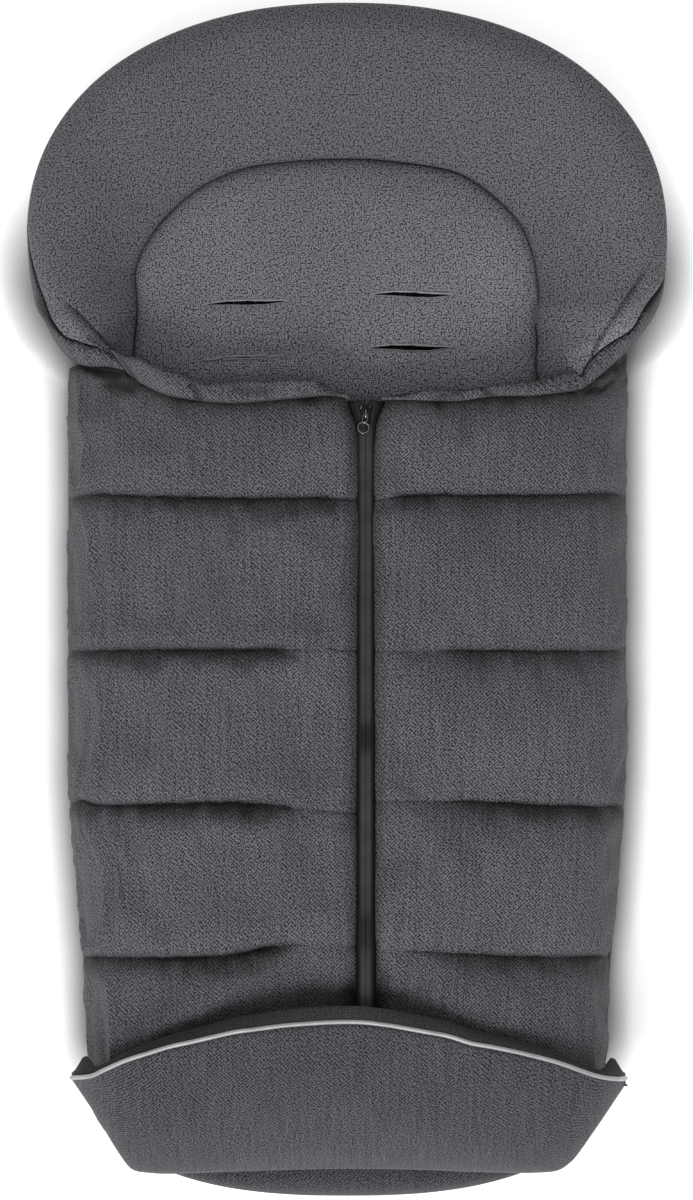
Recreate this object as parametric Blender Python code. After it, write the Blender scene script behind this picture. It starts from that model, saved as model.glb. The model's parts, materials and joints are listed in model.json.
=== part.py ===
"""A stroller footmuff lying on its back: a padded back with a head section, a quilted front in two
opening flaps, a reversed coil zip, and a fold-back cover over the foot end.
Metres, +Z up, +Y towards the head end. The origin is under the middle of the whole length."""

import math

import bmesh
import bpy

# Driving dimensions
BAG_LENGTH = 0.6504  # foot end to the hinge line under the head section
BAG_WIDTH = 0.448
FOOT_WIDTH = 0.416
FOOT_ROUND_LENGTH = 0.1044  # the foot end's rounding, measured along the bag
TAPER_LENGTH = 0.260  # over which the bag narrows towards the foot end
HOOD_WIDTH = 0.5128
HOOD_TOP_RISE = 0.1884  # widest place of the head section to the head end
HOOD_CORNER_RISE = 0.104  # lower corner of the head section to its widest place
HOOD_CORNER_WIDTH = 0.0468
HOOD_NECK_RISE = 0.014  # hinge line to the head section's lower corner
FRONT_HEIGHT = 0.089  # back lining to the crown of the front
ZIP_OFFSET = 0.015  # the zip lies this far to the wearer's left of the middle
ZIP_LENGTH = 0.485

# Cloth and filling
SHELL_THICKNESS = 0.0018
BACK_WADDING_THICKNESS = 0.0098
LINING_THICKNESS = 0.0024
QUILT_THICKNESS = 0.024
QUILT_SIDE_THICKNESS = 0.020
SEAM_GAP = 0.0003  # between pieces that touch
LINING_GAP = 0.0005  # between the curved quilts and their linings
LAYER_INSET = 0.0012  # each back layer ends this far inside the one below

# Front rows, from the collar to the foot end
ROW_LENGTHS = (0.0794, 0.1216, 0.1232, 0.1208)
SEAM_DEPTH = 0.011
SEAM_SIDE_DRAW = 0.003
SEAM_FADE_START = 0.020  # from the zip's middle
SEAM_FADE_END = 0.090
SEAM_LEAST_SHARE = 0.25
ROW_ROUNDNESS = 2.6
FRONT_ROUNDNESS = 3.0
COLLAR_DROP = 0.011  # hinge line to the front's upper edge
COLLAR_CORNER_RISE = 0.022
COLLAR_CORNER_START = 0.140
COLLAR_WIDTH = 0.0128
COLLAR_THICKNESS = 0.015
COLLAR_CROWN = 0.004
FOOT_FALL_LENGTH = 0.150  # from the zip's end, over which the front comes down
FOOT_FALL_ROUNDNESS = 2.2
FOOT_QUILT_END_GAP = 0.026  # foot end to the front's lower edge

# The flaps fold along a slanted line from the upper outer corner to the zip's end
FOLD_TOP_INSET = 0.040
FLAP_TIP_RISE = 0.080  # zip's end to the flap's lower tip
FOLD_AXIS_CLEARANCE = 0.0015

# Zip
ZIP_OPENING = 0.012
TAPE_THICKNESS = 0.0009
COIL_RADIUS = 0.0011
COIL_INSET = 0.0014
ZIP_MIDDLE_GAP = 0.0012
TAPE_DEPTH_TOP = 0.012  # under the fold axis, at the collar
TAPE_DEPTH_TIP = 0.007  # under the fold axis, at the flap's tip
ZIP_EDGE_DROP = 0.002
ZIP_EDGE_ROUND = 0.014
ZIP_EDGE_RISE = 0.008  # the quilt's underside rises this much towards the zip
ZIP_RISE_WIDTH = 0.030
STOP_LENGTH = 0.003
STOP_WIDTH = 0.0024
STOP_THICKNESS = 0.0012
SLIDER_LENGTH = 0.0150
SLIDER_WIDTH = 0.0084
SLIDER_PLATE = 0.0012
SLIDER_TOP_GAP = 0.0055  # collar's lower edge to the slider's upper end
KEEL_THICKNESS = 0.0005
KEEL_LENGTH = 0.0080
BRIDGE_WIDTH = 0.0016
BRIDGE_BAR = 0.0010
BRIDGE_HEIGHT = 0.0034
BRIDGE_LENGTH = 0.0076
PULL_THICKNESS = 0.0012
PULL_BAR = 0.0012
PULL_EYE_LENGTH = 0.0040
PULL_EYE_WIDTH = 0.0026
PULL_NECK_WIDTH = 0.0058
PULL_RING_RADIUS = 0.0052
PULL_RING_HOLE = 0.0026
PULL_RING_REACH = 0.0110
PULL_RING_START = 145  # degrees, where the ring leaves the neck
PULL_RING_SWEEP = 250

# Seat pads and harness slots
PAD_WIDTH = 0.322
PAD_OFFSET = -0.0084
PAD_CROWN = 0.012
PAD_EDGE = 0.004
PAD_END_GAP = 0.0020
PAD_END_ROUND = 0.018
PAD_END_EDGE = 0.001
PAD_SQUARENESS = 4
ARCH_LEG_RISE = 0.092  # hinge line to where the pad's arch begins
ARCH_RISE = 0.0904
PAD_LOWER_LENGTH = 0.400
SLOT_LENGTH = 0.064
SLOT_HEIGHT = 0.0052
BINDING_WALL = 0.0012
BINDING_PROUD = 0.0010
SHOULDER_SLOT_PITCH = 0.0440
SHOULDER_SLOT_FIRST_RISE = 0.0260
SHOULDER_SLOT_SPACING = 0.1330
SHOULDER_SLOT_OFFSET = -0.0152
SHOULDER_SLOT_TILT = 0.0068  # the right-hand ones lie this much nearer the head
CROTCH_SLOT_LENGTH = 0.045
CROTCH_SLOT_DROP = 0.230
HIP_SLOT_DROP = 0.150
HIP_SLOT_SPACING = 0.200

# Head section's raised fleece rim
RIM_INNER_HEIGHT = 0.026
RIM_CREST_HEIGHT = 0.058
RIM_OUTER_HEIGHT = 0.044
RIM_CREST_SHARE = 0.80
RIM_END_HEIGHT = 0.022
RIM_END_RISE = 0.060  # over which the rim comes down to its lower ends
RIM_START_RISE = 0.026  # hinge line to the rim's lower ends
RIM_BAND_THICKNESS = 0.0018
HOOD_TOP_ROUNDNESS = 2.2
HOOD_CORNER_ROUNDNESS = 1.85
FOOT_ROUNDNESS = 2.45

# Foot cover
COVER_LIP_RISE = 0.1416  # foot end to the middle of the lip
COVER_LIP_DROP = 0.046  # the lip's ends lie this much lower
COVER_LIP_CURVE = 1.9
COVER_FOLD_RISE = 0.0194  # foot end to the cover's lower fold
COVER_FOLD_HALF = 0.176
COVER_FLARE = 0.045
COVER_FOLD_CORNER = 0.006
COVER_CORNER_SQUARENESS = 8
COVER_LIP_HEIGHT = 0.119
COVER_LIP_END_HEIGHT = 0.036
COVER_THICKNESS = 0.0018
COVER_LINING_THICKNESS = 0.0012
COVER_ROUNDNESS = 3.0
COVER_FILL_CURVE = 2.6
PIPING_RADIUS = 0.0016
LIP_WIDTH = 0.0100
LIP_DROP = 0.0070
GUSSET_HEIGHT = 0.0325
GUSSET_EDGE_HEIGHT = 0.012
GUSSET_HALF = 0.150
GUSSET_SQUARENESS = 4
GUSSET_FALL_SHARE = 1 / 3
FOLD_SEAT_GAP = 0.0004

# Heights
BACK_SHELL_TOP = SHELL_THICKNESS
BACK_WADDING_BOTTOM = BACK_SHELL_TOP + SEAM_GAP
BACK_WADDING_TOP = BACK_WADDING_BOTTOM + BACK_WADDING_THICKNESS
BACK_LINING_BOTTOM = BACK_WADDING_TOP + SEAM_GAP
BACK_LINING_TOP = BACK_LINING_BOTTOM + LINING_THICKNESS
SEAT_LEVEL = BACK_LINING_TOP + SEAM_GAP
FOLD_AXIS_HEIGHT = SEAT_LEVEL + FRONT_HEIGHT + FOLD_AXIS_CLEARANCE

COVER_FOLD_HEIGHT = (
    SEAT_LEVEL + GUSSET_HEIGHT + FOLD_SEAT_GAP + COVER_THICKNESS + SEAM_GAP + COVER_LINING_THICKNESS
)

# Places along Y
HEAD_LENGTH = HOOD_NECK_RISE + HOOD_CORNER_RISE + HOOD_TOP_RISE
LENGTH = BAG_LENGTH + HEAD_LENGTH
FOOT_END = -LENGTH / 2
HINGE_LINE = FOOT_END + BAG_LENGTH
COLLAR_LINE = HINGE_LINE - COLLAR_DROP
SIDE_END = FOOT_END + FOOT_ROUND_LENGTH
HOOD_CORNER = HINGE_LINE + HOOD_NECK_RISE
HOOD_WIDEST = HOOD_CORNER + HOOD_CORNER_RISE
ZIP_END = COLLAR_LINE - ZIP_LENGTH
FLAP_TIP = ZIP_END + FLAP_TIP_RISE
FOOT_QUILT_END = FOOT_END + FOOT_QUILT_END_GAP
SEAMS = [COLLAR_LINE - sum(ROW_LENGTHS[: n + 1]) for n in range(len(ROW_LENGTHS))]

# Segments
COLUMNS = 9
COVER_COLUMNS = 3 * COLUMNS
ROW_STEPS = 5
RIM_STEPS = 6
PAD_STEPS = 12
BAND_STEPS = 4
GUSSET_STEPS = 3
OUTLINE_STEPS = 12
SLOT_END_STEPS = 4
RING_STEPS = 14
FIT_ROUNDS = 3  # a place on a bent line is found again this many times
SHARP_ANGLE = 50
LEAST_ROW = 0.003  # the narrowest row between two lines of a grid

PARTS = "stroller_footmuff"
CUTTERS = "cutters"


def clear_scene():
    for thing in list(bpy.data.objects):
        bpy.data.objects.remove(thing, do_unlink=True)
    for name in (PARTS, CUTTERS):
        group = bpy.data.collections.new(name)
        bpy.context.scene.collection.children.link(group)


def material(name, colour, roughness, metallic=0.0):
    made = bpy.data.materials.new(name)
    made.use_nodes = True
    shader = made.node_tree.nodes["Principled BSDF"]
    shader.inputs["Base Color"].default_value = (*colour, 1.0)
    shader.inputs["Roughness"].default_value = roughness
    shader.inputs["Metallic"].default_value = metallic
    made.diffuse_color = (*colour, 1.0)
    return made


def add(name, data, finish, group=PARTS):
    thing = bpy.data.objects.new(name, data)
    bpy.data.collections[group].objects.link(thing)
    if finish:
        data.materials.append(finish)
    return thing


def smooth(value, start, end):
    """0 before start, 1 after end, and an S-curve between."""
    t = min(max((value - start) / (end - start), 0.0), 1.0)
    return t * t * (3 - 2 * t)


def bent_slab(name, columns, rows, place, finish):
    """A closed slab on a grid, with its points at place(column, row, layer), layer 0 or 1 by face."""
    bm = bmesh.new()
    bmesh.ops.create_grid(bm, x_segments=columns, y_segments=rows, size=0.5)
    bmesh.ops.triangulate(bm, faces=bm.faces[:], quad_method="FIXED")
    grown = bmesh.ops.extrude_face_region(bm, geom=bm.faces[:], use_keep_orig=True)
    for item in grown["geom"]:
        if isinstance(item, bmesh.types.BMVert):
            item.co.z = 1
    for vert in bm.verts:
        column = round((vert.co.x + 0.5) * columns)
        row = round((vert.co.y + 0.5) * rows)
        vert.co = place(column, row, round(vert.co.z))
    bmesh.ops.recalc_face_normals(bm, faces=bm.faces[:])
    if bm.calc_volume(signed=True) < 0:
        bmesh.ops.reverse_faces(bm, faces=bm.faces[:])
    mesh = bpy.data.meshes.new(name)
    bm.to_mesh(mesh)
    bm.free()
    mesh.shade_smooth()
    mesh.set_sharp_from_angle(angle=math.radians(SHARP_ANGLE))
    return add(name, mesh, finish)


def plate(name, outlines, bottom, top, finish):
    """A flat layer with the first outline as its edge and the others as holes."""
    curve = bpy.data.curves.new(name, "CURVE")
    curve.dimensions = "2D"
    curve.fill_mode = "BOTH"
    curve.extrude = (top - bottom) / 2
    for outline in outlines:
        spline = curve.splines.new("POLY")
        spline.points.add(len(outline) - 1)
        for point, (x, y) in zip(spline.points, outline):
            point.co = (x, y, 0, 1)
        spline.use_cyclic_u = True
    thing = add(name, curve, finish)
    thing.location.z = (top + bottom) / 2
    return thing


def tube(name, points, radius, finish, sides=2):
    curve = bpy.data.curves.new(name, "CURVE")
    curve.dimensions = "3D"
    curve.bevel_depth = radius
    curve.bevel_resolution = sides
    curve.use_fill_caps = True
    spline = curve.splines.new("POLY")
    spline.points.add(len(points) - 1)
    for point, place in zip(spline.points, points):
        point.co = (*place, 1)
    return add(name, curve, finish)


def box_mesh(name, low, high, finish=None, group=PARTS):
    bm = bmesh.new()
    bmesh.ops.create_cube(bm, size=1)
    for vert in bm.verts:
        vert.co = [a + (b - a) * (c + 0.5) for a, b, c in zip(low, high, vert.co)]
    mesh = bpy.data.meshes.new(name)
    bm.to_mesh(mesh)
    bm.free()
    thing = add(name, mesh, finish, group)
    if group == CUTTERS:
        thing.hide_render = True
        thing.display_type = "WIRE"
    return thing


def boolean(thing, other, operation):
    change = thing.modifiers.new(other.name, "BOOLEAN")
    change.operation = operation
    change.solver = "EXACT"
    change.object = other


def superellipse(turn, wide, high, roundness):
    """A point of a quarter superellipse, at turn from 0 (all wide) to 1 (all high)."""
    angle = turn * math.pi / 2
    return (
        wide * math.cos(angle) ** (2 / roundness) if turn < 1 else 0.0,
        high * math.sin(angle) ** (2 / roundness) if turn > 0 else 0.0,
    )


def bag_half_width(y):
    if y < SIDE_END:
        share = min((SIDE_END - y) / FOOT_ROUND_LENGTH, 1.0)
        return FOOT_WIDTH / 2 * (1 - share**FOOT_ROUNDNESS) ** (1 / FOOT_ROUNDNESS)
    narrowing = 1 - smooth(y, SIDE_END, SIDE_END + TAPER_LENGTH)
    return BAG_WIDTH / 2 - (BAG_WIDTH - FOOT_WIDTH) / 2 * narrowing


def bag_outline(inset):
    """The back's edge below the hinge line."""
    top = HINGE_LINE - SEAM_GAP / 2
    side = []
    for n in range(OUTLINE_STEPS):
        turn = n / OUTLINE_STEPS
        wide, high = superellipse(turn, FOOT_WIDTH / 2, FOOT_ROUND_LENGTH, FOOT_ROUNDNESS)
        side.append((wide - inset, SIDE_END - high + inset * turn))
    upper = []
    for n in range(1, OUTLINE_STEPS):
        y = SIDE_END + (top - SIDE_END) * n / OUTLINE_STEPS
        upper.append((bag_half_width(y) - inset, y))
    upper.append((bag_half_width(top) - inset, top))
    right = upper[::-1] + side + [(0.0, FOOT_END + inset)]
    return right[::-1] + [(-x, y) for x, y in right[:-1]]


def hood_edge(turn, inset=0.0):
    """A point of the head section's right-hand edge: lower corner, widest place and top at 0, 1 and 2."""
    corner_x = HOOD_WIDTH / 2 - HOOD_CORNER_WIDTH
    if turn <= 1:
        wide, high = superellipse(1 - turn, HOOD_CORNER_WIDTH, HOOD_CORNER_RISE, HOOD_CORNER_ROUNDNESS)
        return corner_x + wide - inset, HOOD_WIDEST - high + inset * (1 - turn)
    wide, high = superellipse(turn - 1, HOOD_WIDTH / 2, HOOD_TOP_RISE, HOOD_TOP_ROUNDNESS)
    share = (HOOD_WIDTH / 2 - inset) / (HOOD_WIDTH / 2)
    return wide * share, HOOD_WIDEST + high * (HOOD_TOP_RISE - inset) / HOOD_TOP_RISE


def hood_outline():
    bottom = HINGE_LINE + SEAM_GAP / 2
    right = [(hood_edge(0)[0], bottom)]
    right += [hood_edge(n / OUTLINE_STEPS) for n in range(2 * OUTLINE_STEPS)]
    return right + [hood_edge(2)] + [(-x, y) for x, y in right[::-1]]


def slot_outline(place, length, height):
    """A slot with round ends, long across the footmuff."""
    x, y = place
    radius = height / 2
    reach = length / 2 - radius
    points = []
    for side in (1, -1):
        for n in range(SLOT_END_STEPS + 1):
            angle = math.pi * (n / SLOT_END_STEPS - side / 2)
            points.append((x + side * reach + radius * math.cos(angle), y + radius * math.sin(angle)))
    return points


def shoulder_slots():
    places = {}
    for row, level in enumerate(("lower", "upper")):
        y = HINGE_LINE + SHOULDER_SLOT_FIRST_RISE + row * SHOULDER_SLOT_PITCH
        for side, word in ((-1, "left"), (1, "right")):
            x = SHOULDER_SLOT_OFFSET + side * SHOULDER_SLOT_SPACING / 2
            tilt = side * SHOULDER_SLOT_TILT / 2
            places[f"{level}_{word}"] = (x, y + tilt, SLOT_LENGTH)
    return places


def seat_slots():
    hip_y = HINGE_LINE - HIP_SLOT_DROP
    return {
        "crotch": (PAD_OFFSET, HINGE_LINE - CROTCH_SLOT_DROP, CROTCH_SLOT_LENGTH),
        "hip_left": (PAD_OFFSET - HIP_SLOT_SPACING / 2, hip_y, CROTCH_SLOT_LENGTH),
        "hip_right": (PAD_OFFSET + HIP_SLOT_SPACING / 2, hip_y, CROTCH_SLOT_LENGTH),
    }


def collar_edge(x):
    """The front's upper edge, level over the middle and rising to its outer corners."""
    reach = (abs(x) - COLLAR_CORNER_START) / (BAG_WIDTH / 2 - COLLAR_CORNER_START)
    return COLLAR_LINE + COLLAR_CORNER_RISE * max(reach, 0.0) ** 2


def line_y(level, x):
    """A line across the front at level, which in the first row rises with the upper edge."""
    share = (level - SEAMS[0]) / (COLLAR_LINE - SEAMS[0])
    return level + max(share, 0.0) * (collar_edge(x) - COLLAR_LINE)


def row_lines(low, high):
    """The levels of the grid lines between low and high, closer together at the quilt seams."""
    bounds = [COLLAR_LINE] + SEAMS + [FOOT_END]
    found = {low, high}
    for upper, lower in zip(bounds, bounds[1:]):
        for n in range(ROW_STEPS + 1):
            y = lower + (upper - lower) * (1 - math.cos(math.pi * n / ROW_STEPS)) / 2
            if low + LEAST_ROW < y < high - LEAST_ROW:
                found.add(y)
    return sorted(found)


def row_dip(level):
    """0 on a row's crown and 1 in a quilt seam."""
    bounds = [COLLAR_LINE] + SEAMS + [FOOT_END]
    for upper, lower in zip(bounds, bounds[1:]):
        if level >= lower:
            t = min((level - lower) / (upper - lower), 1.0)
            return abs(2 * t - 1) ** ROW_ROUNDNESS
    return 1.0


def front_rise(level):
    share = min(max((ZIP_END - level) / FOOT_FALL_LENGTH, 0.0), 1.0)
    return FRONT_HEIGHT * (1 - share**FOOT_FALL_ROUNDNESS) ** (1 / FOOT_FALL_ROUNDNESS)


def fold_distance(side, y):
    """From the zip's middle to the line along which a flap folds, level with the collar line above it."""
    top = BAG_WIDTH / 2 - FOLD_TOP_INSET - side * ZIP_OFFSET
    return top * (min(y, COLLAR_LINE) - ZIP_END) / (COLLAR_LINE - ZIP_END)


class Layer:
    """One face of a front piece: its depth under the crown and inside the side, and if it is quilted."""

    def __init__(self, top, side, quilted):
        self.top = top
        self.side = side
        self.quilted = quilted

    def reach(self, side, y, level):
        draw = SEAM_SIDE_DRAW * row_dip(level) * self.quilted
        return bag_half_width(y) - side * ZIP_OFFSET - self.side - draw

    def turn(self, side, y, level, distance):
        """How far round the front's section a distance from the zip lies: 0 at the side, 1 over the zip."""
        share = min(max(distance / self.reach(side, y, level), 0.0), 1.0)
        return math.acos(share ** (FRONT_ROUNDNESS / 2)) / (math.pi / 2)

    def point(self, side, y, level, turn):
        reach = self.reach(side, y, level)
        wide, high = superellipse(turn, reach, 1, FRONT_ROUNDNESS)
        fade = SEAM_LEAST_SHARE + (1 - SEAM_LEAST_SHARE) * smooth(wide, SEAM_FADE_START, SEAM_FADE_END)
        rise = front_rise(level) - self.top - SEAM_DEPTH * row_dip(level) * fade * self.quilted
        edge = ZIP_OPENING / 2
        if self.quilted:
            rise -= ZIP_EDGE_DROP * (1 - smooth(wide, edge, edge + ZIP_EDGE_ROUND))
        elif level > ZIP_END:
            rise += ZIP_EDGE_RISE * (1 - smooth(wide, edge, edge + ZIP_RISE_WIDTH))
        return ZIP_OFFSET + side * wide, y, SEAT_LEVEL + rise * high


def layers():
    inner = QUILT_THICKNESS + LINING_GAP
    inner_side = QUILT_SIDE_THICKNESS + LINING_GAP
    quilt = (Layer(QUILT_THICKNESS, QUILT_SIDE_THICKNESS, 0), Layer(0.0, 0.0, 1))
    lining = (
        Layer(inner + LINING_THICKNESS, inner_side + LINING_THICKNESS, 0),
        Layer(inner, inner_side, 0),
    )
    return quilt, lining


def front_piece(name, side, faces, levels, outer, inner, finish, skipped=0):
    """A piece of the front between two distances from the zip, less the skipped columns next to it.

    outer is None where the piece reaches the bag's side.
    """

    def place(column, row, layer):
        face = faces[layer]
        level = levels[row]
        y = level
        for _ in range(FIT_ROUNDS):
            start = 0.0 if outer is None else face.turn(side, y, level, outer(y))
            end = face.turn(side, y, level, inner(y))
            turn = start + (end - start) * column / COLUMNS
            x = face.point(side, y, level, turn)[0]
            y = line_y(level, x)
        return face.point(side, y, level, turn)

    return bent_slab(name, COLUMNS - skipped, len(levels) - 1, place, finish)


def foot_piece(name, faces, levels, grooved, finish):
    """A piece across the whole front at the foot end, with a groove for the zip's lower stretch."""
    edge = ZIP_OPENING / 2
    foot_of_wall = edge - SEAM_GAP
    top_of_wall = edge + SEAM_GAP
    groove = tape_height(FLAP_TIP) - TAPE_THICKNESS / 2 - SEAM_GAP
    last = 2 * COLUMNS + 3

    def place(column, row, layer):
        face = faces[layer]
        level = levels[row]
        side = -1 if column <= COLUMNS + 1 else 1
        step = min(column, last - column)
        end = face.turn(side, level, level, top_of_wall)
        if step <= COLUMNS:
            return face.point(side, level, level, end * step / COLUMNS)
        turn = face.turn(side, level, level, foot_of_wall)
        x, y, z = face.point(side, level, level, turn)
        if grooved and layer == 1 and level > ZIP_END - 2 * SEAM_GAP:
            z = min(z, groove)
        return x, y, z

    return bent_slab(name, last, len(levels) - 1, place, finish)


def tape_height(y):
    share = (y - FLAP_TIP) / (COLLAR_LINE - FLAP_TIP)
    return FOLD_AXIS_HEIGHT - TAPE_DEPTH_TIP - (TAPE_DEPTH_TOP - TAPE_DEPTH_TIP) * share


def tape_half(name, side, low, high, finish):
    near = ZIP_OFFSET + side * ZIP_MIDDLE_GAP / 2
    far = ZIP_OFFSET + side * (ZIP_OPENING / 2 - SEAM_GAP)

    def place(column, row, layer):
        y = high if row else low
        z = tape_height(y) + TAPE_THICKNESS * (layer - 0.5)
        return (far if column else near), y, z

    return bent_slab(name, 1, 1, place, finish)


def zip_block(name, side, ends, heights, reach, finish):
    """A small block on the zip, from the middle gap outwards, or across both sides where side is 0."""
    near = ZIP_OFFSET + side * ZIP_MIDDLE_GAP / 2 if side else ZIP_OFFSET - reach
    far = ZIP_OFFSET + (side if side else 1) * reach
    low = (min(near, far), ends[0], heights[0])
    high = (max(near, far), ends[1], heights[1])
    return box_mesh(name, low, high, finish)


def collar_band(name, side, finish):
    """The turned-over band along a flap's upper edge."""
    crown = Layer(0.0, 0.0, 0)
    zip_edge = ZIP_OPENING / 2

    def place(column, row, layer):
        across = row / BAND_STEPS
        y = COLLAR_LINE
        for _ in range(FIT_ROUNDS):
            start = crown.turn(side, y, COLLAR_LINE, fold_distance(side, y) - SEAM_GAP)
            end = crown.turn(side, y, COLLAR_LINE, zip_edge)
            turn = start + (end - start) * column / COLUMNS
            x = crown.point(side, COLLAR_LINE, COLLAR_LINE, turn)[0]
            y = collar_edge(x) + SEAM_GAP + COLLAR_WIDTH * across
        wide, high = superellipse(turn, 1, FRONT_HEIGHT, FRONT_ROUNDNESS)
        rounding = COLLAR_CROWN * (2 * across - 1) ** 2
        top = SEAT_LEVEL + high - SEAM_SIDE_DRAW - rounding
        bottom = SEAT_LEVEL + high * (1 - COLLAR_THICKNESS / FRONT_HEIGHT) - SEAM_SIDE_DRAW
        return x, y, top if layer else bottom

    return bent_slab(name, COLUMNS, BAND_STEPS, place, finish)


def arch_edge(turn, inset):
    """A point of the pad's right-hand edge: rim's lower end, arch's foot and arch's top at 0, 1 and 2."""
    half = PAD_WIDTH / 2 - inset
    start = HINGE_LINE + RIM_START_RISE
    spring = HINGE_LINE + ARCH_LEG_RISE
    if turn <= 1:
        return half, start + (spring - start) * turn
    wide, high = superellipse(turn - 1, half, ARCH_RISE - inset, 2)
    return wide, spring + high


def rim_point(along, across):
    """A place on the raised rim in plan: along runs from -1 at the left lower end to 1 at the right one."""
    side = -1 if along < 0 else 1
    turn = 2 * (1 - abs(along))
    inner_x, inner_y = arch_edge(turn, -SEAM_GAP)
    outer_x, outer_y = hood_edge(turn, RIM_BAND_THICKNESS + SEAM_GAP)
    outer_y = max(outer_y, HINGE_LINE + RIM_START_RISE)
    inner_x = side * inner_x + PAD_OFFSET
    return inner_x + (side * outer_x - inner_x) * across, inner_y + (outer_y - inner_y) * across


def rim_height(y, across):
    if across < RIM_CREST_SHARE:
        share = smooth(across, 0.0, RIM_CREST_SHARE)
        height = RIM_INNER_HEIGHT + (RIM_CREST_HEIGHT - RIM_INNER_HEIGHT) * share
    else:
        share = ((across - RIM_CREST_SHARE) / (1 - RIM_CREST_SHARE)) ** 2
        height = RIM_CREST_HEIGHT - (RIM_CREST_HEIGHT - RIM_OUTER_HEIGHT) * share
    start = HINGE_LINE + RIM_START_RISE
    return RIM_END_HEIGHT + (height - RIM_END_HEIGHT) * smooth(y, start, start + RIM_END_RISE)


def rim_piece(name, bottom, drop, finish):
    """A layer of the raised rim; bottom is None where it follows the top one lining's thickness below."""
    columns = 2 * OUTLINE_STEPS

    def place(column, row, layer):
        across = row / RIM_STEPS
        x, y = rim_point(2 * column / columns - 1, across)
        top = rim_height(y, across) - drop
        if layer:
            return x, y, top
        return x, y, top - LINING_THICKNESS if bottom is None else bottom

    return bent_slab(name, columns, RIM_STEPS, place, finish)


def rim_band(name, bottom, finish):
    """The strip of outer cloth up the rim's outer side."""
    columns = 2 * OUTLINE_STEPS

    def place(column, row, layer):
        along = 2 * column / columns - 1
        side = -1 if along < 0 else 1
        x, y = hood_edge(2 * (1 - abs(along)), 0.0 if layer else RIM_BAND_THICKNESS)
        start = HINGE_LINE + RIM_START_RISE
        y = max(y, start)
        top = rim_height(y, 1.0)
        return side * x, y, bottom + (top - bottom) * row

    return bent_slab(name, columns, 1, place, finish)


def pad_arch(across):
    """The upper pad's rounded top edge, at across from -1 to 1."""
    return HINGE_LINE + ARCH_LEG_RISE + ARCH_RISE * math.sqrt(1 - min(across**2, 1.0))


def pad_end(across):
    """The lower pad's straight lower edge."""
    return HINGE_LINE - PAD_LOWER_LENGTH


def seat_pad(name, base, near, far_edge, slots, finish):
    """A crowned pad from near the hinge line to its far edge, cut for the harness slots."""

    def place(column, row, layer):
        across = -math.cos(math.pi * column / OUTLINE_STEPS)
        far = far_edge(across)
        y = near + (far - near) * (1 - math.cos(math.pi * row / PAD_STEPS)) / 2
        x = PAD_OFFSET + PAD_WIDTH / 2 * across
        if not layer:
            return x, y, base
        near_share = min(abs(y - near) / PAD_END_ROUND, 1.0)
        far_share = min(abs(far - y) / PAD_END_ROUND, 1.0)
        ending = math.sqrt(1 - (1 - near_share) ** 2)
        crown = (1 - abs(across) ** PAD_SQUARENESS) * (1 - (1 - far_share) ** 2)
        height = max(ending * (PAD_EDGE + PAD_CROWN * crown), PAD_END_EDGE)
        return x, y, SEAT_LEVEL + height

    pad = bent_slab(name, OUTLINE_STEPS, PAD_STEPS, place, finish)
    for slot, (x, y, length) in slots.items():
        half_length = length / 2 + BINDING_WALL + SEAM_GAP
        half_height = SLOT_HEIGHT / 2 + BINDING_WALL + SEAM_GAP
        cutter = box_mesh(
            slot + "_cutter",
            (x - half_length, y - half_height, -PAD_CROWN),
            (x + half_length, y + half_height, RIM_CREST_HEIGHT),
            group=CUTTERS,
        )
        boolean(pad, cutter, "DIFFERENCE")
    return pad


def slot_holes(slots):
    spare = 2 * (BINDING_WALL + SEAM_GAP)
    return [slot_outline((x, y), length + spare, SLOT_HEIGHT + spare) for x, y, length in slots.values()]


def slot_bindings(slots, finish):
    top = SEAT_LEVEL + PAD_EDGE + PAD_CROWN + BINDING_PROUD
    wall = 2 * BINDING_WALL
    made = []
    for name, (x, y, length) in slots.items():
        outer = slot_outline((x, y), length + wall, SLOT_HEIGHT + wall)
        inner = slot_outline((x, y), length, SLOT_HEIGHT)
        made.append(plate(name + "_slot_binding", [outer, inner], SEAM_GAP, top, finish))
    return made


def cover_point(angle, along, depth):
    """A place on the foot cover: angle 0 to pi from left to right, along 0 at its fold and 1 at its lip."""
    power = 2 / COVER_ROUNDNESS
    across = -math.copysign(abs(math.cos(angle)) ** power, math.cos(angle))
    high = max(math.sin(angle), 0.0) ** power
    low_y = FOOT_END + COVER_FOLD_RISE + COVER_FOLD_CORNER * abs(across) ** COVER_CORNER_SQUARENESS
    lip_y = FOOT_END + COVER_LIP_RISE - COVER_LIP_DROP * abs(across) ** COVER_LIP_CURVE
    fill = math.sqrt(1 - (1 - along) ** COVER_FILL_CURVE)
    middle = COVER_FOLD_HEIGHT + (COVER_LIP_HEIGHT - COVER_FOLD_HEIGHT) * fill
    side = COVER_FOLD_HEIGHT + (COVER_LIP_END_HEIGHT - COVER_FOLD_HEIGHT) * along
    x = across * (COVER_FOLD_HALF + COVER_FLARE * along - depth)
    return x, low_y + (lip_y - low_y) * along, side + (middle - depth - side) * high


def cover_piece(name, depth, thickness, finish):
    def place(column, row, layer):
        along = 1 - math.cos(math.pi / 2 * row / RIM_STEPS)
        return cover_point(math.pi * column / COVER_COLUMNS, along, depth if layer else depth + thickness)

    return bent_slab(name, COVER_COLUMNS, RIM_STEPS, place, finish)


def cover_lip(name, finish):
    """The cover's inner facing, which shows past the piping and slopes down towards the front."""
    start = 2 * PIPING_RADIUS + 3 * SEAM_GAP

    def place(column, row, layer):
        x, y, z = cover_point(math.pi * column / COVER_COLUMNS, 1, 0.0)
        y += start + LIP_WIDTH * row
        z -= LIP_DROP * row + (0 if layer else COVER_THICKNESS)
        return x, y, z

    return bent_slab(name, COVER_COLUMNS, 1, place, finish)


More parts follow.
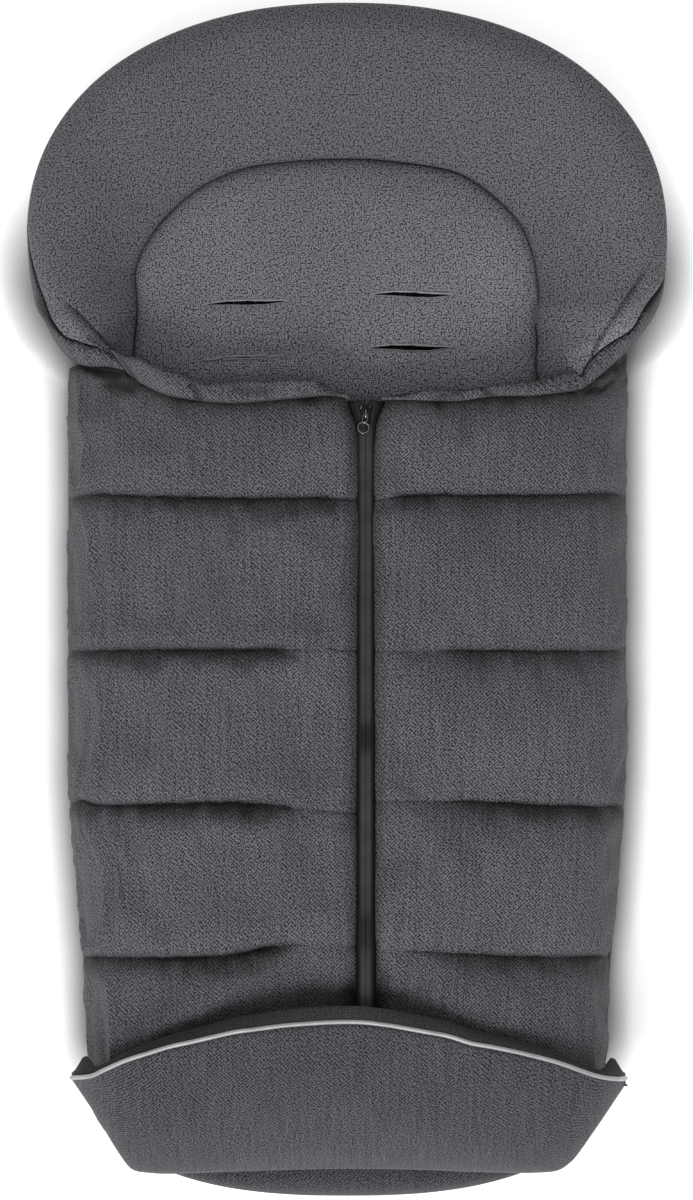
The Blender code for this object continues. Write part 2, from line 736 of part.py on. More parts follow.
def cover_piping(name, finish):
    line = []
    for n in range(COVER_COLUMNS + 1):
        x, y, z = cover_point(math.pi * n / COVER_COLUMNS, 1, 0.0)
        line.append((x, y + PIPING_RADIUS + SEAM_GAP, z - COVER_THICKNESS / 2))
    return tube(name, line, PIPING_RADIUS, finish)


def foot_gusset(name, finish):
    """The padded end of the bag, a crescent in plan."""
    inner_y = FOOT_QUILT_END - SEAM_GAP

    def place(column, row, layer):
        across = 2 * column / OUTLINE_STEPS - 1
        x = GUSSET_HALF * across
        share = (abs(x) / (FOOT_WIDTH / 2)) ** FOOT_ROUNDNESS
        outer_y = SIDE_END - FOOT_ROUND_LENGTH * (1 - share) ** (1 / FOOT_ROUNDNESS)
        out = row / GUSSET_STEPS
        y = inner_y + (outer_y - inner_y) * out
        crown = 1 - across**GUSSET_SQUARENESS
        height = GUSSET_EDGE_HEIGHT + (GUSSET_HEIGHT - GUSSET_EDGE_HEIGHT) * crown
        height *= 1 - GUSSET_FALL_SHARE * out**GUSSET_SQUARENESS
        return x, y, SEAT_LEVEL + height * layer

    return bent_slab(name, OUTLINE_STEPS, GUSSET_STEPS, place, finish)


def slider_parts(metal):
    """The zip slider, laid along the tape, with the tape's slope and the place of the pull's axis."""
    half = SLIDER_LENGTH / 2
    slope = math.atan2(TAPE_DEPTH_TOP - TAPE_DEPTH_TIP, COLLAR_LINE - FLAP_TIP)
    top_low = TAPE_THICKNESS / 2 + SEAM_GAP
    top_high = top_low + SLIDER_PLATE
    low_high = -TAPE_THICKNESS / 2 - 2 * SEAM_GAP - 2 * COIL_RADIUS
    low_low = low_high - SLIDER_PLATE
    wide = SLIDER_WIDTH / 2
    slider = box_mesh("zip_slider", (-wide, -half, top_low), (wide, half, top_high), metal)
    lower = box_mesh("slider_lower_plate", (-wide, -half, low_low), (wide, half, low_high), group=CUTTERS)
    keel = box_mesh(
        "slider_keel",
        (-KEEL_THICKNESS / 2, half - KEEL_LENGTH, low_low + SLIDER_PLATE / 2),
        (KEEL_THICKNESS / 2, half - STOP_THICKNESS, top_high - SLIDER_PLATE / 2),
        group=CUTTERS,
    )
    bridge = box_mesh(
        "slider_bridge",
        (-BRIDGE_WIDTH / 2, -BRIDGE_LENGTH / 2, top_high - SLIDER_PLATE / 2),
        (BRIDGE_WIDTH / 2, BRIDGE_LENGTH / 2, top_high + BRIDGE_HEIGHT),
        group=CUTTERS,
    )
    window = box_mesh(
        "slider_bridge_window",
        (-BRIDGE_WIDTH, BRIDGE_BAR - BRIDGE_LENGTH / 2, top_high),
        (BRIDGE_WIDTH, BRIDGE_LENGTH / 2 - BRIDGE_BAR, top_high + BRIDGE_HEIGHT - BRIDGE_BAR),
        group=CUTTERS,
    )
    boolean(bridge, window, "DIFFERENCE")
    for other in (lower, keel, bridge):
        boolean(slider, other, "UNION")
    y = COLLAR_LINE - SLIDER_TOP_GAP - half
    place = (ZIP_OFFSET, y, tape_height(y))
    for thing in (slider, lower, keel, bridge, window):
        thing.location = place
        thing.rotation_euler.x = -slope
    bar_height = top_high + (BRIDGE_HEIGHT - BRIDGE_BAR) / 2
    axis = (
        ZIP_OFFSET,
        y + bar_height * math.sin(slope),
        tape_height(y) + bar_height * math.cos(slope),
    )
    return slider, slope, axis


def puller(name, slope, axis, metal):
    """A flat pull with an eye round the slider's bridge and a ring at its end."""
    bar = PULL_BAR / 2
    neck = PULL_NECK_WIDTH / 2
    outer = [(-neck, bar)]
    for n in range(RING_STEPS + 1):
        angle = math.radians(PULL_RING_START + PULL_RING_SWEEP * n / RING_STEPS)
        across = PULL_RING_RADIUS * math.cos(angle)
        outer.append((across, PULL_RING_RADIUS * math.sin(angle) - PULL_RING_REACH))
    outer.append((neck, bar))
    eye_low = -bar - PULL_EYE_LENGTH
    eye = PULL_EYE_WIDTH / 2
    window = [(-eye, -bar), (-eye, eye_low), (eye, eye_low), (eye, -bar)]
    ring = []
    for n in range(RING_STEPS):
        angle = 2 * math.pi * n / RING_STEPS
        across = PULL_RING_HOLE * math.cos(angle)
        ring.append((across, PULL_RING_HOLE * math.sin(angle) - PULL_RING_REACH))
    pull = plate(name, [outer, window, ring], -PULL_THICKNESS / 2, PULL_THICKNESS / 2, metal)
    pull.location = axis
    pull.rotation_euler.x = -slope
    return pull


def carry(name, place, things):
    """An empty on a joint's axis that carries the pieces which move about it."""
    axis = bpy.data.objects.new(name, None)
    axis.location = place
    bpy.data.collections[PARTS].objects.link(axis)
    for thing in things:
        thing.parent = axis
        thing.location = [a - b for a, b in zip(thing.location, place)]
    return axis


def back_pieces(finishes):
    seat = seat_slots()
    holes = slot_holes(seat)
    layered = (
        ("back_shell", 0.0, BACK_SHELL_TOP, "twill"),
        ("back_wadding", BACK_WADDING_BOTTOM, BACK_WADDING_TOP, "filling"),
        ("back_lining", BACK_LINING_BOTTOM, BACK_LINING_TOP, "fleece"),
    )
    for count, (name, bottom, top, finish) in enumerate(layered):
        plate(name, [bag_outline(count * LAYER_INSET)] + holes, bottom, top, finishes[finish])
    near = HINGE_LINE - PAD_END_GAP
    seat_pad("seat_pad_lower", SEAT_LEVEL, near, pad_end, seat, finishes["fleece"])
    slot_bindings(seat, finishes["twill"])


def front_pieces(finishes):
    """The quilted front: its fixed sides and foot end, and the pieces of each flap."""
    twill = finishes["twill"]
    fleece = finishes["fleece"]
    quilt, lining = layers()
    side_levels = row_lines(FLAP_TIP + SEAM_GAP, COLLAR_LINE)
    foot_levels = row_lines(FOOT_QUILT_END, ZIP_END - LEAST_ROW)
    foot_levels += row_lines(ZIP_END - SEAM_GAP, FLAP_TIP)
    half_gap = SEAM_GAP / 2
    flaps = {}
    for side, word in ((-1, "left"), (1, "right")):

        def fold_outside(y, side=side):
            return fold_distance(side, y) + half_gap

        def fold_inside(y, side=side):
            return fold_distance(side, y) - half_gap

        def zip_edge(y):
            return ZIP_OPENING / 2

        front_piece(f"front_{word}_side_quilt", side, quilt, side_levels, None, fold_outside, twill)
        front_piece(f"front_{word}_side_lining", side, lining, side_levels, None, fold_outside, fleece)
        flaps[word] = [
            front_piece(f"{word}_flap_quilt", side, quilt, side_levels, fold_inside, zip_edge, twill),
            front_piece(f"{word}_flap_lining", side, lining, side_levels, fold_inside, zip_edge, fleece, 1),
            collar_band(f"{word}_collar_band", side, twill),
        ]
    foot_piece("front_foot_quilt", quilt, foot_levels, True, twill)
    foot_piece("front_foot_lining", lining, foot_levels, False, fleece)
    foot_gusset("foot_gusset", twill)
    return flaps


def zip_pieces(finishes, flaps, slider_low):
    """The tapes, coils and top stops, added to the flaps that carry them, and the closed lower stretch."""
    stop_low = COLLAR_LINE - SEAM_GAP - STOP_LENGTH
    stop_height = tape_height(stop_low)
    tape_tops = {"left": stop_low - SEAM_GAP, "right": slider_low - STOP_THICKNESS}
    low = FLAP_TIP + SEAM_GAP
    drop = TAPE_THICKNESS / 2 + SEAM_GAP + COIL_RADIUS
    for side, word in ((-1, "left"), (1, "right")):
        high = tape_tops[word]
        coil_x = ZIP_OFFSET + side * (ZIP_MIDDLE_GAP / 2 + COIL_INSET)
        coil = [(coil_x, y, tape_height(y) - drop) for y in (low, high)]
        flaps[word] += [
            tape_half(f"{word}_zip_tape", side, low, high, finishes["coated"]),
            tube(f"{word}_zip_coil", coil, COIL_RADIUS, finishes["nylon"]),
            zip_block(
                f"{word}_zip_top_stop",
                side,
                (stop_low, COLLAR_LINE - SEAM_GAP),
                (stop_height - STOP_THICKNESS, stop_height + STOP_THICKNESS),
                ZIP_OPENING / 2 - SEAM_GAP,
                finishes["metal"],
            ),
        ]
    tape_bottom = tape_height(FLAP_TIP) - TAPE_THICKNESS / 2
    tape_top = tape_bottom + TAPE_THICKNESS
    stop_bottom = tape_top + SEAM_GAP
    zip_block(
        "zip_lower_tape",
        0,
        (ZIP_END, FLAP_TIP - SEAM_GAP),
        (tape_bottom, tape_top),
        ZIP_OPENING / 2 - 2 * SEAM_GAP,
        finishes["coated"],
    )
    zip_block(
        "zip_bottom_stop",
        0,
        (ZIP_END + STOP_LENGTH, ZIP_END + 2 * STOP_LENGTH),
        (stop_bottom, stop_bottom + STOP_THICKNESS),
        STOP_WIDTH,
        finishes["metal"],
    )


def hood_pieces(finishes):
    shoulder = shoulder_slots()
    outlines = [hood_outline()] + slot_holes(shoulder)
    bottom = BACK_WADDING_BOTTOM
    near = HINGE_LINE + PAD_END_GAP
    return [
        plate("hood_shell", outlines, 0.0, BACK_SHELL_TOP, finishes["twill"]),
        rim_piece("hood_wadding", bottom, LINING_THICKNESS + SEAM_GAP, finishes["filling"]),
        rim_piece("hood_lining", None, 0.0, finishes["fleece"]),
        rim_band("hood_rim_band", bottom, finishes["twill"]),
        seat_pad("seat_pad_upper", bottom, near, pad_arch, shoulder, finishes["fleece"]),
    ] + slot_bindings(shoulder, finishes["twill"])


def cover_pieces(finishes):
    inside = COVER_THICKNESS + SEAM_GAP
    return [
        cover_piece("foot_cover_shell", 0.0, COVER_THICKNESS, finishes["twill"]),
        cover_piece("foot_cover_lining", inside, COVER_LINING_THICKNESS, finishes["proofed"]),
        cover_piping("foot_cover_piping", finishes["silver"]),
        cover_lip("foot_cover_lip", finishes["twill"]),
    ]


def main():
    clear_scene()
    finishes = {
        "twill": material("grey_twill", (0.088, 0.090, 0.099), 0.92),
        "fleece": material("grey_fleece", (0.104, 0.106, 0.118), 0.97),
        "filling": material("white_wadding", (0.70, 0.70, 0.68), 0.95),
        "coated": material("black_coated_tape", (0.030, 0.030, 0.031), 0.42),
        "nylon": material("black_nylon", (0.022, 0.022, 0.023), 0.35),
        "metal": material("black_metal", (0.035, 0.035, 0.037), 0.30, 0.9),
        "silver": material("reflective_silver", (0.45, 0.46, 0.47), 0.45),
        "proofed": material("proofed_lining", (0.060, 0.061, 0.067), 0.70),
    }
    back_pieces(finishes)
    flaps = front_pieces(finishes)
    slider, slope, pull_axis = slider_parts(finishes["metal"])
    slider_place = tuple(slider.location)
    zip_pieces(finishes, flaps, slider_place[1] - SLIDER_LENGTH / 2)
    pull = puller("zip_puller", slope, pull_axis, finishes["metal"])

    carry("hood_axis", (0, HINGE_LINE, SEAT_LEVEL), hood_pieces(finishes))
    carry("foot_cover_axis", (0, FOOT_END + COVER_FOLD_RISE, COVER_FOLD_HEIGHT), cover_pieces(finishes))
    fold_middle = (ZIP_END + COLLAR_LINE) / 2
    for side, word in ((-1, "left"), (1, "right")):
        x = ZIP_OFFSET + side * fold_distance(side, fold_middle)
        carry(f"{word}_flap_axis", (x, fold_middle, FOLD_AXIS_HEIGHT), flaps[word])
    pull_carrier = carry("puller_axis", pull_axis, [pull])
    slider_carrier = carry("slider_axis", slider_place, [slider])
    pull_carrier.parent = slider_carrier
    pull_carrier.location = [a - b for a, b in zip(pull_axis, slider_place)]


main()
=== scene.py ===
"""The looks of the stroller footmuff: twill and fleece cloth, padding, zip, piping and a plain studio."""

import json
import math

import bmesh
import bpy
import numpy as np
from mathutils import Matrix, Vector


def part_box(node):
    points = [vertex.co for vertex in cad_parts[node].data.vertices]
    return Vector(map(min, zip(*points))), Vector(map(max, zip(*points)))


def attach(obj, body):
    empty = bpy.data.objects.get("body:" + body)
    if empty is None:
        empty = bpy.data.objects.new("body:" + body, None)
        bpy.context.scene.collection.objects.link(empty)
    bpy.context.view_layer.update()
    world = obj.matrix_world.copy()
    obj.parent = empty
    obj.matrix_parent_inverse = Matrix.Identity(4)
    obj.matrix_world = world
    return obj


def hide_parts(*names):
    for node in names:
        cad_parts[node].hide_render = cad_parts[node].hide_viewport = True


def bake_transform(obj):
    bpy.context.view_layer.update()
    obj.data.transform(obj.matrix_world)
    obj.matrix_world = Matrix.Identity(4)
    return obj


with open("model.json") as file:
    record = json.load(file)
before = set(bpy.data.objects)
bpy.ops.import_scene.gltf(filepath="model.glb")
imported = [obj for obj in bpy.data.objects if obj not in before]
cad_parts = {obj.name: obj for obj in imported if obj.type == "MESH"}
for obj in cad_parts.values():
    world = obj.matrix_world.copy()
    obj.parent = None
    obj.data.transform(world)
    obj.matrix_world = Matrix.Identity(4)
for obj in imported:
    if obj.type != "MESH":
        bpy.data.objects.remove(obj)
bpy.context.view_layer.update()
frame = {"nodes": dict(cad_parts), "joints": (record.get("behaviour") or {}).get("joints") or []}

# The photograph's scale and middle, for places named by its pixels
PIXEL = 0.0008
MIDDLE_COLUMN = 347
MIDDLE_ROW = 600

# Places of the frame
BACK_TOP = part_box("back_lining")[1].z
HINGE_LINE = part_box("back_shell")[1].y
HEAD_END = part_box("hood_shell")[1].y
COLLAR_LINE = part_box("left_flap_quilt")[1].y
FLAP_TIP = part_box("left_flap_quilt")[0].y
ZIP_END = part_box("zip_lower_tape")[0].y
FOOT_QUILT_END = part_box("front_foot_quilt")[0].y
HALF_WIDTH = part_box("back_shell")[1].x
HOOD_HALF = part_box("hood_shell")[1].x
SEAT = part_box("front_foot_quilt")[0].z
FRONT_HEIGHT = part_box("front_foot_quilt")[1].z - SEAT
ZIP_X = (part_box("zip_lower_tape")[0].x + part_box("zip_lower_tape")[1].x) / 2
JOINTS = {joint["name"]: joint for joint in frame["joints"]}
WORDS = {-1: "left", 1: "right"}

# The bag's plan
FOOT_HALF = 0.208
SIDE_END = -0.374
TAPER_LENGTH = 0.260
FOOT_ROUND = 0.1044
FOOT_ROUNDNESS = 2.45
FRONT_ROUNDNESS = 3.0
FALL_LENGTH = 0.150
FALL_ROUNDNESS = 2.2


# Curves


def smooth(value, start, end):
    """A soft step from 0 at start to 1 at end."""
    t = np.clip((value - start) / (end - start), 0.0, 1.0)
    return t * t * (3 - 2 * t)


def mixed(first, second, share):
    return first + (second - first) * share


def bell(value, width, power=2):
    return np.exp(-((value / width) ** power))


def fade(value, length):
    return np.exp(-value / length)


def dome(share, power):
    """A rounded fall from 1 to 0."""
    return (1 - share**power) ** (1 / power)


def rolled(share):
    """How far a quarter round has dropped, from 0 to 1."""
    return 1 - np.sqrt(1 - share**2)


def squared(value, power):
    return np.sign(value) * np.abs(value) ** power


def unit(vectors):
    return vectors / np.maximum(np.linalg.norm(vectors, axis=-1, keepdims=True), 1e-12)


def circle(count):
    return np.linspace(0, 2 * np.pi, count, endpoint=False)


def waves(x, y, length, seed, count=22):
    """Seeded noise, mostly within -1 and 1, whose ridges lie about one length apart."""
    rng = np.random.RandomState(seed)
    total = np.zeros(np.broadcast(x, y).shape)
    for _ in range(count):
        turn = rng.uniform(0, 2 * math.pi)
        k = 2 * math.pi / length * rng.uniform(0.6, 1.5)
        total += np.cos(k * (x * math.cos(turn) + y * math.sin(turn)) + rng.uniform(0, 2 * math.pi))
    return total / math.sqrt(count)


def pixels(points):
    """Pixels of the photograph as places in metres, seen straight down."""
    return (np.array(points, float) - (MIDDLE_COLUMN, MIDDLE_ROW)) * (PIXEL, -PIXEL)


def curve_y(line, x):
    """The y at x of a smooth line through pixels."""
    line = pixels(line)
    xs, ys = line[np.argsort(line[:, 0])].T
    slopes = np.gradient(ys, xs)
    at = np.clip(np.searchsorted(xs, x) - 1, 0, len(xs) - 2)
    h = xs[at + 1] - xs[at]
    t = np.clip((x - xs[at]) / h, 0.0, 1.0)
    return (
        (2 * t**3 - 3 * t**2 + 1) * ys[at]
        + (t**3 - 2 * t**2 + t) * h * slopes[at]
        + (3 * t**2 - 2 * t**3) * ys[at + 1]
        + (t**3 - t**2) * h * slopes[at + 1]
    )


def lengths_along(line):
    return np.concatenate([[0.0], np.cumsum(np.linalg.norm(np.diff(line, axis=0), axis=1))])


def path_through(points, count):
    """Places evenly along a smooth path through the points."""
    n = len(points)
    ends = np.vstack([2 * points[0] - points[1], points, 2 * points[-1] - points[-2]])
    t = np.linspace(0, n - 1, 40 * n)
    i = np.clip(t.astype(int), 0, n - 2)
    f = (t - i)[:, None]
    p0, p1, p2, p3 = ends[i], ends[i + 1], ends[i + 2], ends[i + 3]
    dense = 0.5 * (
        2 * p1 + (p2 - p0) * f + (2 * p0 - 5 * p1 + 4 * p2 - p3) * f**2 + (3 * p1 - p0 - 3 * p2 + p3) * f**3
    )
    steps = lengths_along(dense)
    at = np.linspace(0, steps[-1], count)
    return np.stack([np.interp(at, steps, dense[:, k]) for k in (0, 1)], axis=1)


def pixel_path(points, count):
    return path_through(pixels(points), count)


def distance_to(x, y, line):
    """Distances from places to an open line of points, and how far along it each is, from 0 to 1."""
    best, along = np.full(np.shape(x), np.inf), np.zeros(np.shape(x))
    line = line[np.concatenate([[True], np.linalg.norm(np.diff(line, axis=0), axis=1) > 1e-9])]
    before = lengths_along(line)
    for a, run, step, start in zip(line, np.diff(line, axis=0), np.diff(before), before):
        t = np.clip(((x - a[0]) * run[0] + (y - a[1]) * run[1]) / step**2, 0.0, 1.0)
        d = np.hypot(x - a[0] - t * run[0], y - a[1] - t * run[1])
        along = np.where(d < best, (start + t * step) / before[-1], along)
        best = np.minimum(d, best)
    return best, along


def creased(x, y, folds):
    """How deep folds are at places, and the shade painted in them: each has its line, width, depth, shade and soft
    ends.
    """
    deep, tint = np.zeros(np.shape(x)), np.zeros(np.shape(x))
    for line, width, depth, shade, start, end in folds:
        d, along = distance_to(x, y, pixel_path(line, 30))
        there = smooth(along, 0.0, start) * smooth(1 - along, 0.0, end)
        deep += depth * bell(d, width) * there
        tint -= shade * bell(d, 0.85 * width) * there
    return deep, tint


# Meshes


def grid_faces(rows, columns, closed=False, looped=False):
    """Quads between the points of a grid; its columns come round again when closed, its rows when looped."""
    across = np.arange(columns if closed else columns - 1)
    i, j = np.meshgrid(np.arange(rows if looped else rows - 1), across, indexing="ij")
    k, after = (j + 1) % columns, (i + 1) % rows
    quads = [i * columns + j, i * columns + k, after * columns + k, after * columns + j]
    return np.stack(quads, axis=-1).reshape(-1, 4)


def mesh_piece(name, points, faces, finish, weave=None, tint=None, sharp=None):
    """A mesh; weave holds its places on the flat cloth, and tint how much paler or darker its colour is painted than
    the finish, mostly as painted light and shade.
    """
    mesh = bpy.data.meshes.new(name)
    mesh.from_pydata(points.reshape(-1, 3).tolist(), [], [list(map(int, face)) for face in faces])
    shades = np.zeros(len(mesh.vertices), np.float32)
    if tint is not None:
        shades[: tint.size] = tint.ravel()
    mesh.attributes.new("tint", "FLOAT", "POINT").data.foreach_set("value", shades)
    if weave is not None:
        weave = weave.reshape(-1, weave.shape[-1])
        flat = np.zeros((len(mesh.vertices), 3), np.float32)
        flat[: len(weave), : weave.shape[1]] = weave
        mesh.attributes.new("weave", "FLOAT_VECTOR", "POINT").data.foreach_set("vector", flat.ravel())
    bm = bmesh.new()
    bm.from_mesh(mesh)
    bmesh.ops.recalc_face_normals(bm, faces=bm.faces[:])
    if bm.calc_volume(signed=True) < 0:
        bmesh.ops.reverse_faces(bm, faces=bm.faces[:])
    bm.to_mesh(mesh)
    bm.free()
    return shown(name, mesh, finish, sharp)


def shown(name, mesh, finish, sharp):
    mesh.shade_smooth()
    if sharp:
        mesh.set_sharp_from_angle(angle=math.radians(sharp))
    mesh.materials.append(finish)
    thing = bpy.data.objects.new(name, mesh)
    bpy.context.scene.collection.objects.link(thing)
    return thing


def slab(name, outer, inner, finish, weave, tint=None):
    """A closed layer of cloth or padding between two grids of points."""
    rows, columns = outer.shape[:2]
    count = rows * columns
    ids = np.arange(count).reshape(rows, columns)
    rim = np.concatenate([ids[0, :-1], ids[:-1, -1], ids[-1, :0:-1], ids[:0:-1, 0]])
    after = np.roll(rim, -1)
    walls = np.stack([rim, after, after + count, rim + count], axis=-1)
    quads = grid_faces(rows, columns)
    faces = np.concatenate([quads, quads[:, ::-1] + count, walls])
    points = np.concatenate([outer.reshape(-1, 3), inner.reshape(-1, 3)])
    return mesh_piece(name, points, faces, finish, np.tile(weave.reshape(count, -1), (2, 1)), tint)


def normals_of(grid):
    return unit(np.cross(np.gradient(grid, axis=1), np.gradient(grid, axis=0)))


def cloth_lengths(grid):
    """Lengths in metres along a grid's rows and columns, for a weave that follows the cloth."""
    lengths = np.zeros((*grid.shape[:2], 2))
    lengths[:, 1:, 0] = np.cumsum(np.linalg.norm(np.diff(grid, axis=1), axis=2), axis=1)
    lengths[1:, :, 1] = np.cumsum(np.linalg.norm(np.diff(grid, axis=0), axis=2), axis=0)
    return lengths


def thin_slab(name, grid, thickness, finish, weave=None, tint=None, inward=1):
    """A cloth of one thickness behind a grid."""
    weave = cloth_lengths(grid) if weave is None else weave
    return slab(name, grid, grid - inward * thickness * normals_of(grid), finish, weave, tint)


def tube_sections(path, radius, count, step):
    """Circles round a level path, from its direction at each place."""
    out = unit(np.cross(unit(step), (0.0, 0.0, 1.0)))
    cos, sin = (turned[None, :, None] for turned in (np.cos(circle(count)), np.sin(circle(count))))
    return path[:, None] + radius * (cos * out[:, None] + sin * np.cross(out, unit(step))[:, None])


def ring_tube(name, path, sections, finish, weave=None, tint=None):
    """A tube closed at both ends through a path, from its sections: (places along, places round, 3)."""
    rows, columns = sections.shape[:2]
    end = rows * columns
    faces = grid_faces(rows, columns, closed=True).tolist()
    for j in range(columns):
        k = (j + 1) % columns
        faces += [[end, k, j], [end + 1, end - columns + j, end - columns + k]]
    points = np.concatenate([sections.reshape(-1, 3), path[:1], path[-1:]])
    return mesh_piece(name, points, faces, finish, weave, tint)


def plate_stack(name, edge, heights, insets, finish):
    """A flat padded layer: rings of the edge at rising heights and insets, closed over below and above."""
    away = unit(edge - edge.mean(axis=0))
    rings = [np.insert(edge - away * inset, 2, height, axis=1) for height, inset in zip(heights, insets)]
    rows, columns = len(rings), len(edge)
    caps = [list(range(columns))[::-1], list(range((rows - 1) * columns, rows * columns))]
    points = np.concatenate(rings)
    faces = grid_faces(rows, columns, closed=True).tolist() + caps
    return mesh_piece(name, points, faces, finish, points[:, :2], sharp=40)



def declare(piece, slot, *nodes, fill=None, **sheet):
    """Hides the frame's nodes that a piece stands in for, and gives back the piece. Its slot, filling and flat cloth
    are not used.
    """
    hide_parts(*nodes)
    return piece


def bend_with_head(piece):
    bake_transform(piece)


def bend_with_flap(piece, side):
    """Reads the fold of a piece's flap, then bakes the piece's place into its mesh; the piece is not bent."""
    joint = JOINTS[WORDS[side] + "_flap_fold"]
    axis, place = np.array(joint["axis"], float), np.array(joint["pos_m"], float)
    toward = unit(np.array([-axis[1], axis[0], 0.0]))
    if toward[0] * side > 0:
        toward = -toward
    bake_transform(piece)


# Materials


class Finish:
    """A material's node tree, with short ways to add and join nodes."""

    def __init__(self, name):
        self.material = bpy.data.materials.new(name)
        self.material.use_nodes = True
        self.nodes = self.material.node_tree.nodes

    def feed(self, sockets, values):
        for key, value in values.items():
            if isinstance(value, bpy.types.NodeSocket):
                self.material.node_tree.links.new(value, sockets[key])
            else:
                sockets[key].default_value = value

    def node(self, kind, inputs=None, **settings):
        made = self.nodes.new("ShaderNode" + kind)
        for key, value in settings.items():
            setattr(made, key, value)
        self.feed(made.inputs, inputs or {})
        return made

    def set(self, **values):
        self.feed(self.nodes["Principled BSDF"].inputs, {key.replace("_", " "): values[key] for key in values})
        return self.material

    def math(self, operation, a, b=0.0):
        return self.node("Math", {0: a, 1: b}, operation=operation).outputs[0]

    def total(self, *terms):
        """The sum of (value, gain, middle) terms: each value's difference from its middle, times its gain."""
        whole = None
        for value, gain, middle in terms:
            value = self.math("MULTIPLY", self.math("SUBTRACT", value, middle) if middle else value, gain)
            whole = self.math("ADD", whole, value) if whole else value
        return whole

    def tones(self, factor, colour, *stops):
        """A ramp over the factor between two shares of a colour, from (place, share) stops."""
        made = self.node("ValToRGB", {"Fac": factor})
        for element, (place, share) in zip(made.color_ramp.elements, stops):
            element.position = place
            element.color = (*(channel * share for channel in colour), 1.0)
        return made.outputs["Color"]

    def times(self, a, b):
        return self.node("Mix", {0: 1.0, 6: a, 7: b}, data_type="RGBA", blend_type="MULTIPLY").outputs[2]

    def tinted(self, base):
        """The base colour, paler or darker by the mesh's own tint, which mostly holds painted light and shade."""
        tint = self.node("Attribute", attribute_name="tint").outputs["Fac"]
        share = self.node("CombineColor", {key: self.math("ADD", tint, 1.0) for key in ("Red", "Green", "Blue")})
        return self.times(base, share.outputs["Color"])

    def weave(self):
        return self.node("Attribute", attribute_name="weave").outputs["Vector"]

    def place(self):
        return self.node("TexCoord").outputs["Object"]

    def turned(self, vector, degrees, scale=(1, 1, 1)):
        turned = self.node("Mapping", {"Vector": vector, "Rotation": (0, 0, math.radians(degrees))})
        return self.node("Mapping", {"Vector": turned.outputs["Vector"], "Scale": scale}).outputs["Vector"]

    def bands(self, vector, pitch, distortion):
        """Soft bands across the first axis, one pitch apart in metres."""
        inputs = {"Vector": vector, "Scale": 2 * math.pi / (20 * pitch), "Distortion": distortion}
        inputs.update({"Detail": 1.0, "Detail Scale": 1.0})
        return self.node("TexWave", inputs, wave_type="BANDS", bands_direction="X").outputs["Fac"]

    def noise(self, vector, scale, detail=2.0):
        inputs = {"Vector": vector, "Scale": scale, "Detail": detail, "Roughness": 0.5}
        return self.node("TexNoise", inputs).outputs["Fac"]

    def spread(self, value, low, high):
        return self.node("MapRange", {"Value": value, "To Min": low, "To Max": high}).outputs[0]

    def step(self, value, start, end):
        ends = {"Value": value, "From Min": start, "From Max": end}
        return self.node("MapRange", ends, interpolation_type="SMOOTHSTEP").outputs[0]

    def bump(self, height, distance, strength):
        inputs = {"Height": height, "Distance": distance, "Strength": strength}
        return self.node("Bump", inputs).outputs["Normal"]


WHITE = (1.0, 1.0, 1.0)
TWILL_PITCH = 0.0020
FLOOR_LIFT = 0.30
END_LIFT = 0.62


def twill(name, colour, flat=False):
    """Melange twill: light and dark yarns in fine diagonal lines, with faint slubs along the cloth."""
    f = Finish(name)
    cloth = f.place() if flat else f.weave()
    lines = f.bands(f.turned(cloth, 45), TWILL_PITCH, 0.7)
    cross = f.bands(f.turned(cloth, -45), TWILL_PITCH * 1.35, 0.9)
    yarn, cross_yarn = (f.noise(f.turned(cloth, turn, (1.0, 0.5, 0.5)), 1180.0, 1.0) for turn in (45, -45))
    slub = f.noise(f.turned(cloth, 0, (1.0, 0.06, 0.06)), 300.0)
    slow = f.noise(cloth, 11.0, 3.0)
    grain = f.total((lines, 0.30, 0), (cross, 0.20, 0), (yarn, 1.8, 0.5), (cross_yarn, 1.2, 0.5), (slub, 0.3, 0.5))
    tone = f.tones(grain, colour, (0.03, 0.03), (0.49, 2.0))
    base = f.tinted(f.times(tone, f.tones(slow, WHITE, (0.3, 0.93), (0.7, 1.07))))
    normal = f.bump(grain, 0.0004, 0.5)
    return f.set(Base_Color=base, Roughness=0.9, Normal=normal, Sheen_Weight=0.05, Sheen_Roughness=0.5)


def fleece(name, colour):
    """Short-pile fleece: soft pebbles with paler tips."""
    f = Finish(name)
    place = f.place()
    pebbles = f.node("TexVoronoi", {"Vector": place, "Scale": 700.0, "Randomness": 0.85}, voronoi_dimensions="2D")
    fine = f.noise(place, 1200.0, 1.0)
    slow = f.noise(place, 9.0, 3.0)
    grain = f.math("ADD", f.total((pebbles.outputs["Distance"], -1.3, 0), (fine, 1.0, 0.5)), 0.88)
    tone = f.tones(grain, colour, (0.03, 0.2), (0.74, 1.93))
    base = f.tinted(f.times(tone, f.tones(slow, WHITE, (0.3, 0.95), (0.7, 1.05))))
    normal = f.bump(grain, 0.0008, 0.5)
    return f.set(Base_Color=base, Roughness=0.95, Normal=normal, Sheen_Weight=0.1, Sheen_Roughness=0.4)


def coated(name, colour):
    """The zip's coated tape: a thin film over a ribbed weave."""
    f = Finish(name)
    cloth = f.weave()
    ribs = {"Vector": cloth, "Scale": 260.0, "Distortion": 0.4}
    ribs = f.node("TexWave", ribs, wave_type="BANDS", bands_direction="Y").outputs["Fac"]
    fine = f.noise(cloth, 900.0)
    base = f.tinted(f.tones(f.noise(cloth, 60.0, 3.0), colour, (0.35, 0.85), (0.65, 1.15)))
    normal = f.bump(f.math("ADD", ribs, fine), 0.00006, 0.4)
    return f.set(Base_Color=base, Roughness=f.spread(fine, 0.5, 0.66), Normal=normal, Specular_IOR_Level=0.22)


def metal(name, colour):
    """Black lacquer on die-cast metal, worn a little at random."""
    f = Finish(name)
    wear_and_glint = f.noise(f.place(), 1500.0, 3.0)
    base = f.tinted(f.tones(wear_and_glint, colour, (0.3, 0.8), (0.75, 1.6)))
    return f.set(Base_Color=base, Roughness=f.spread(wear_and_glint, 0.2, 0.36), Metallic=0.9)


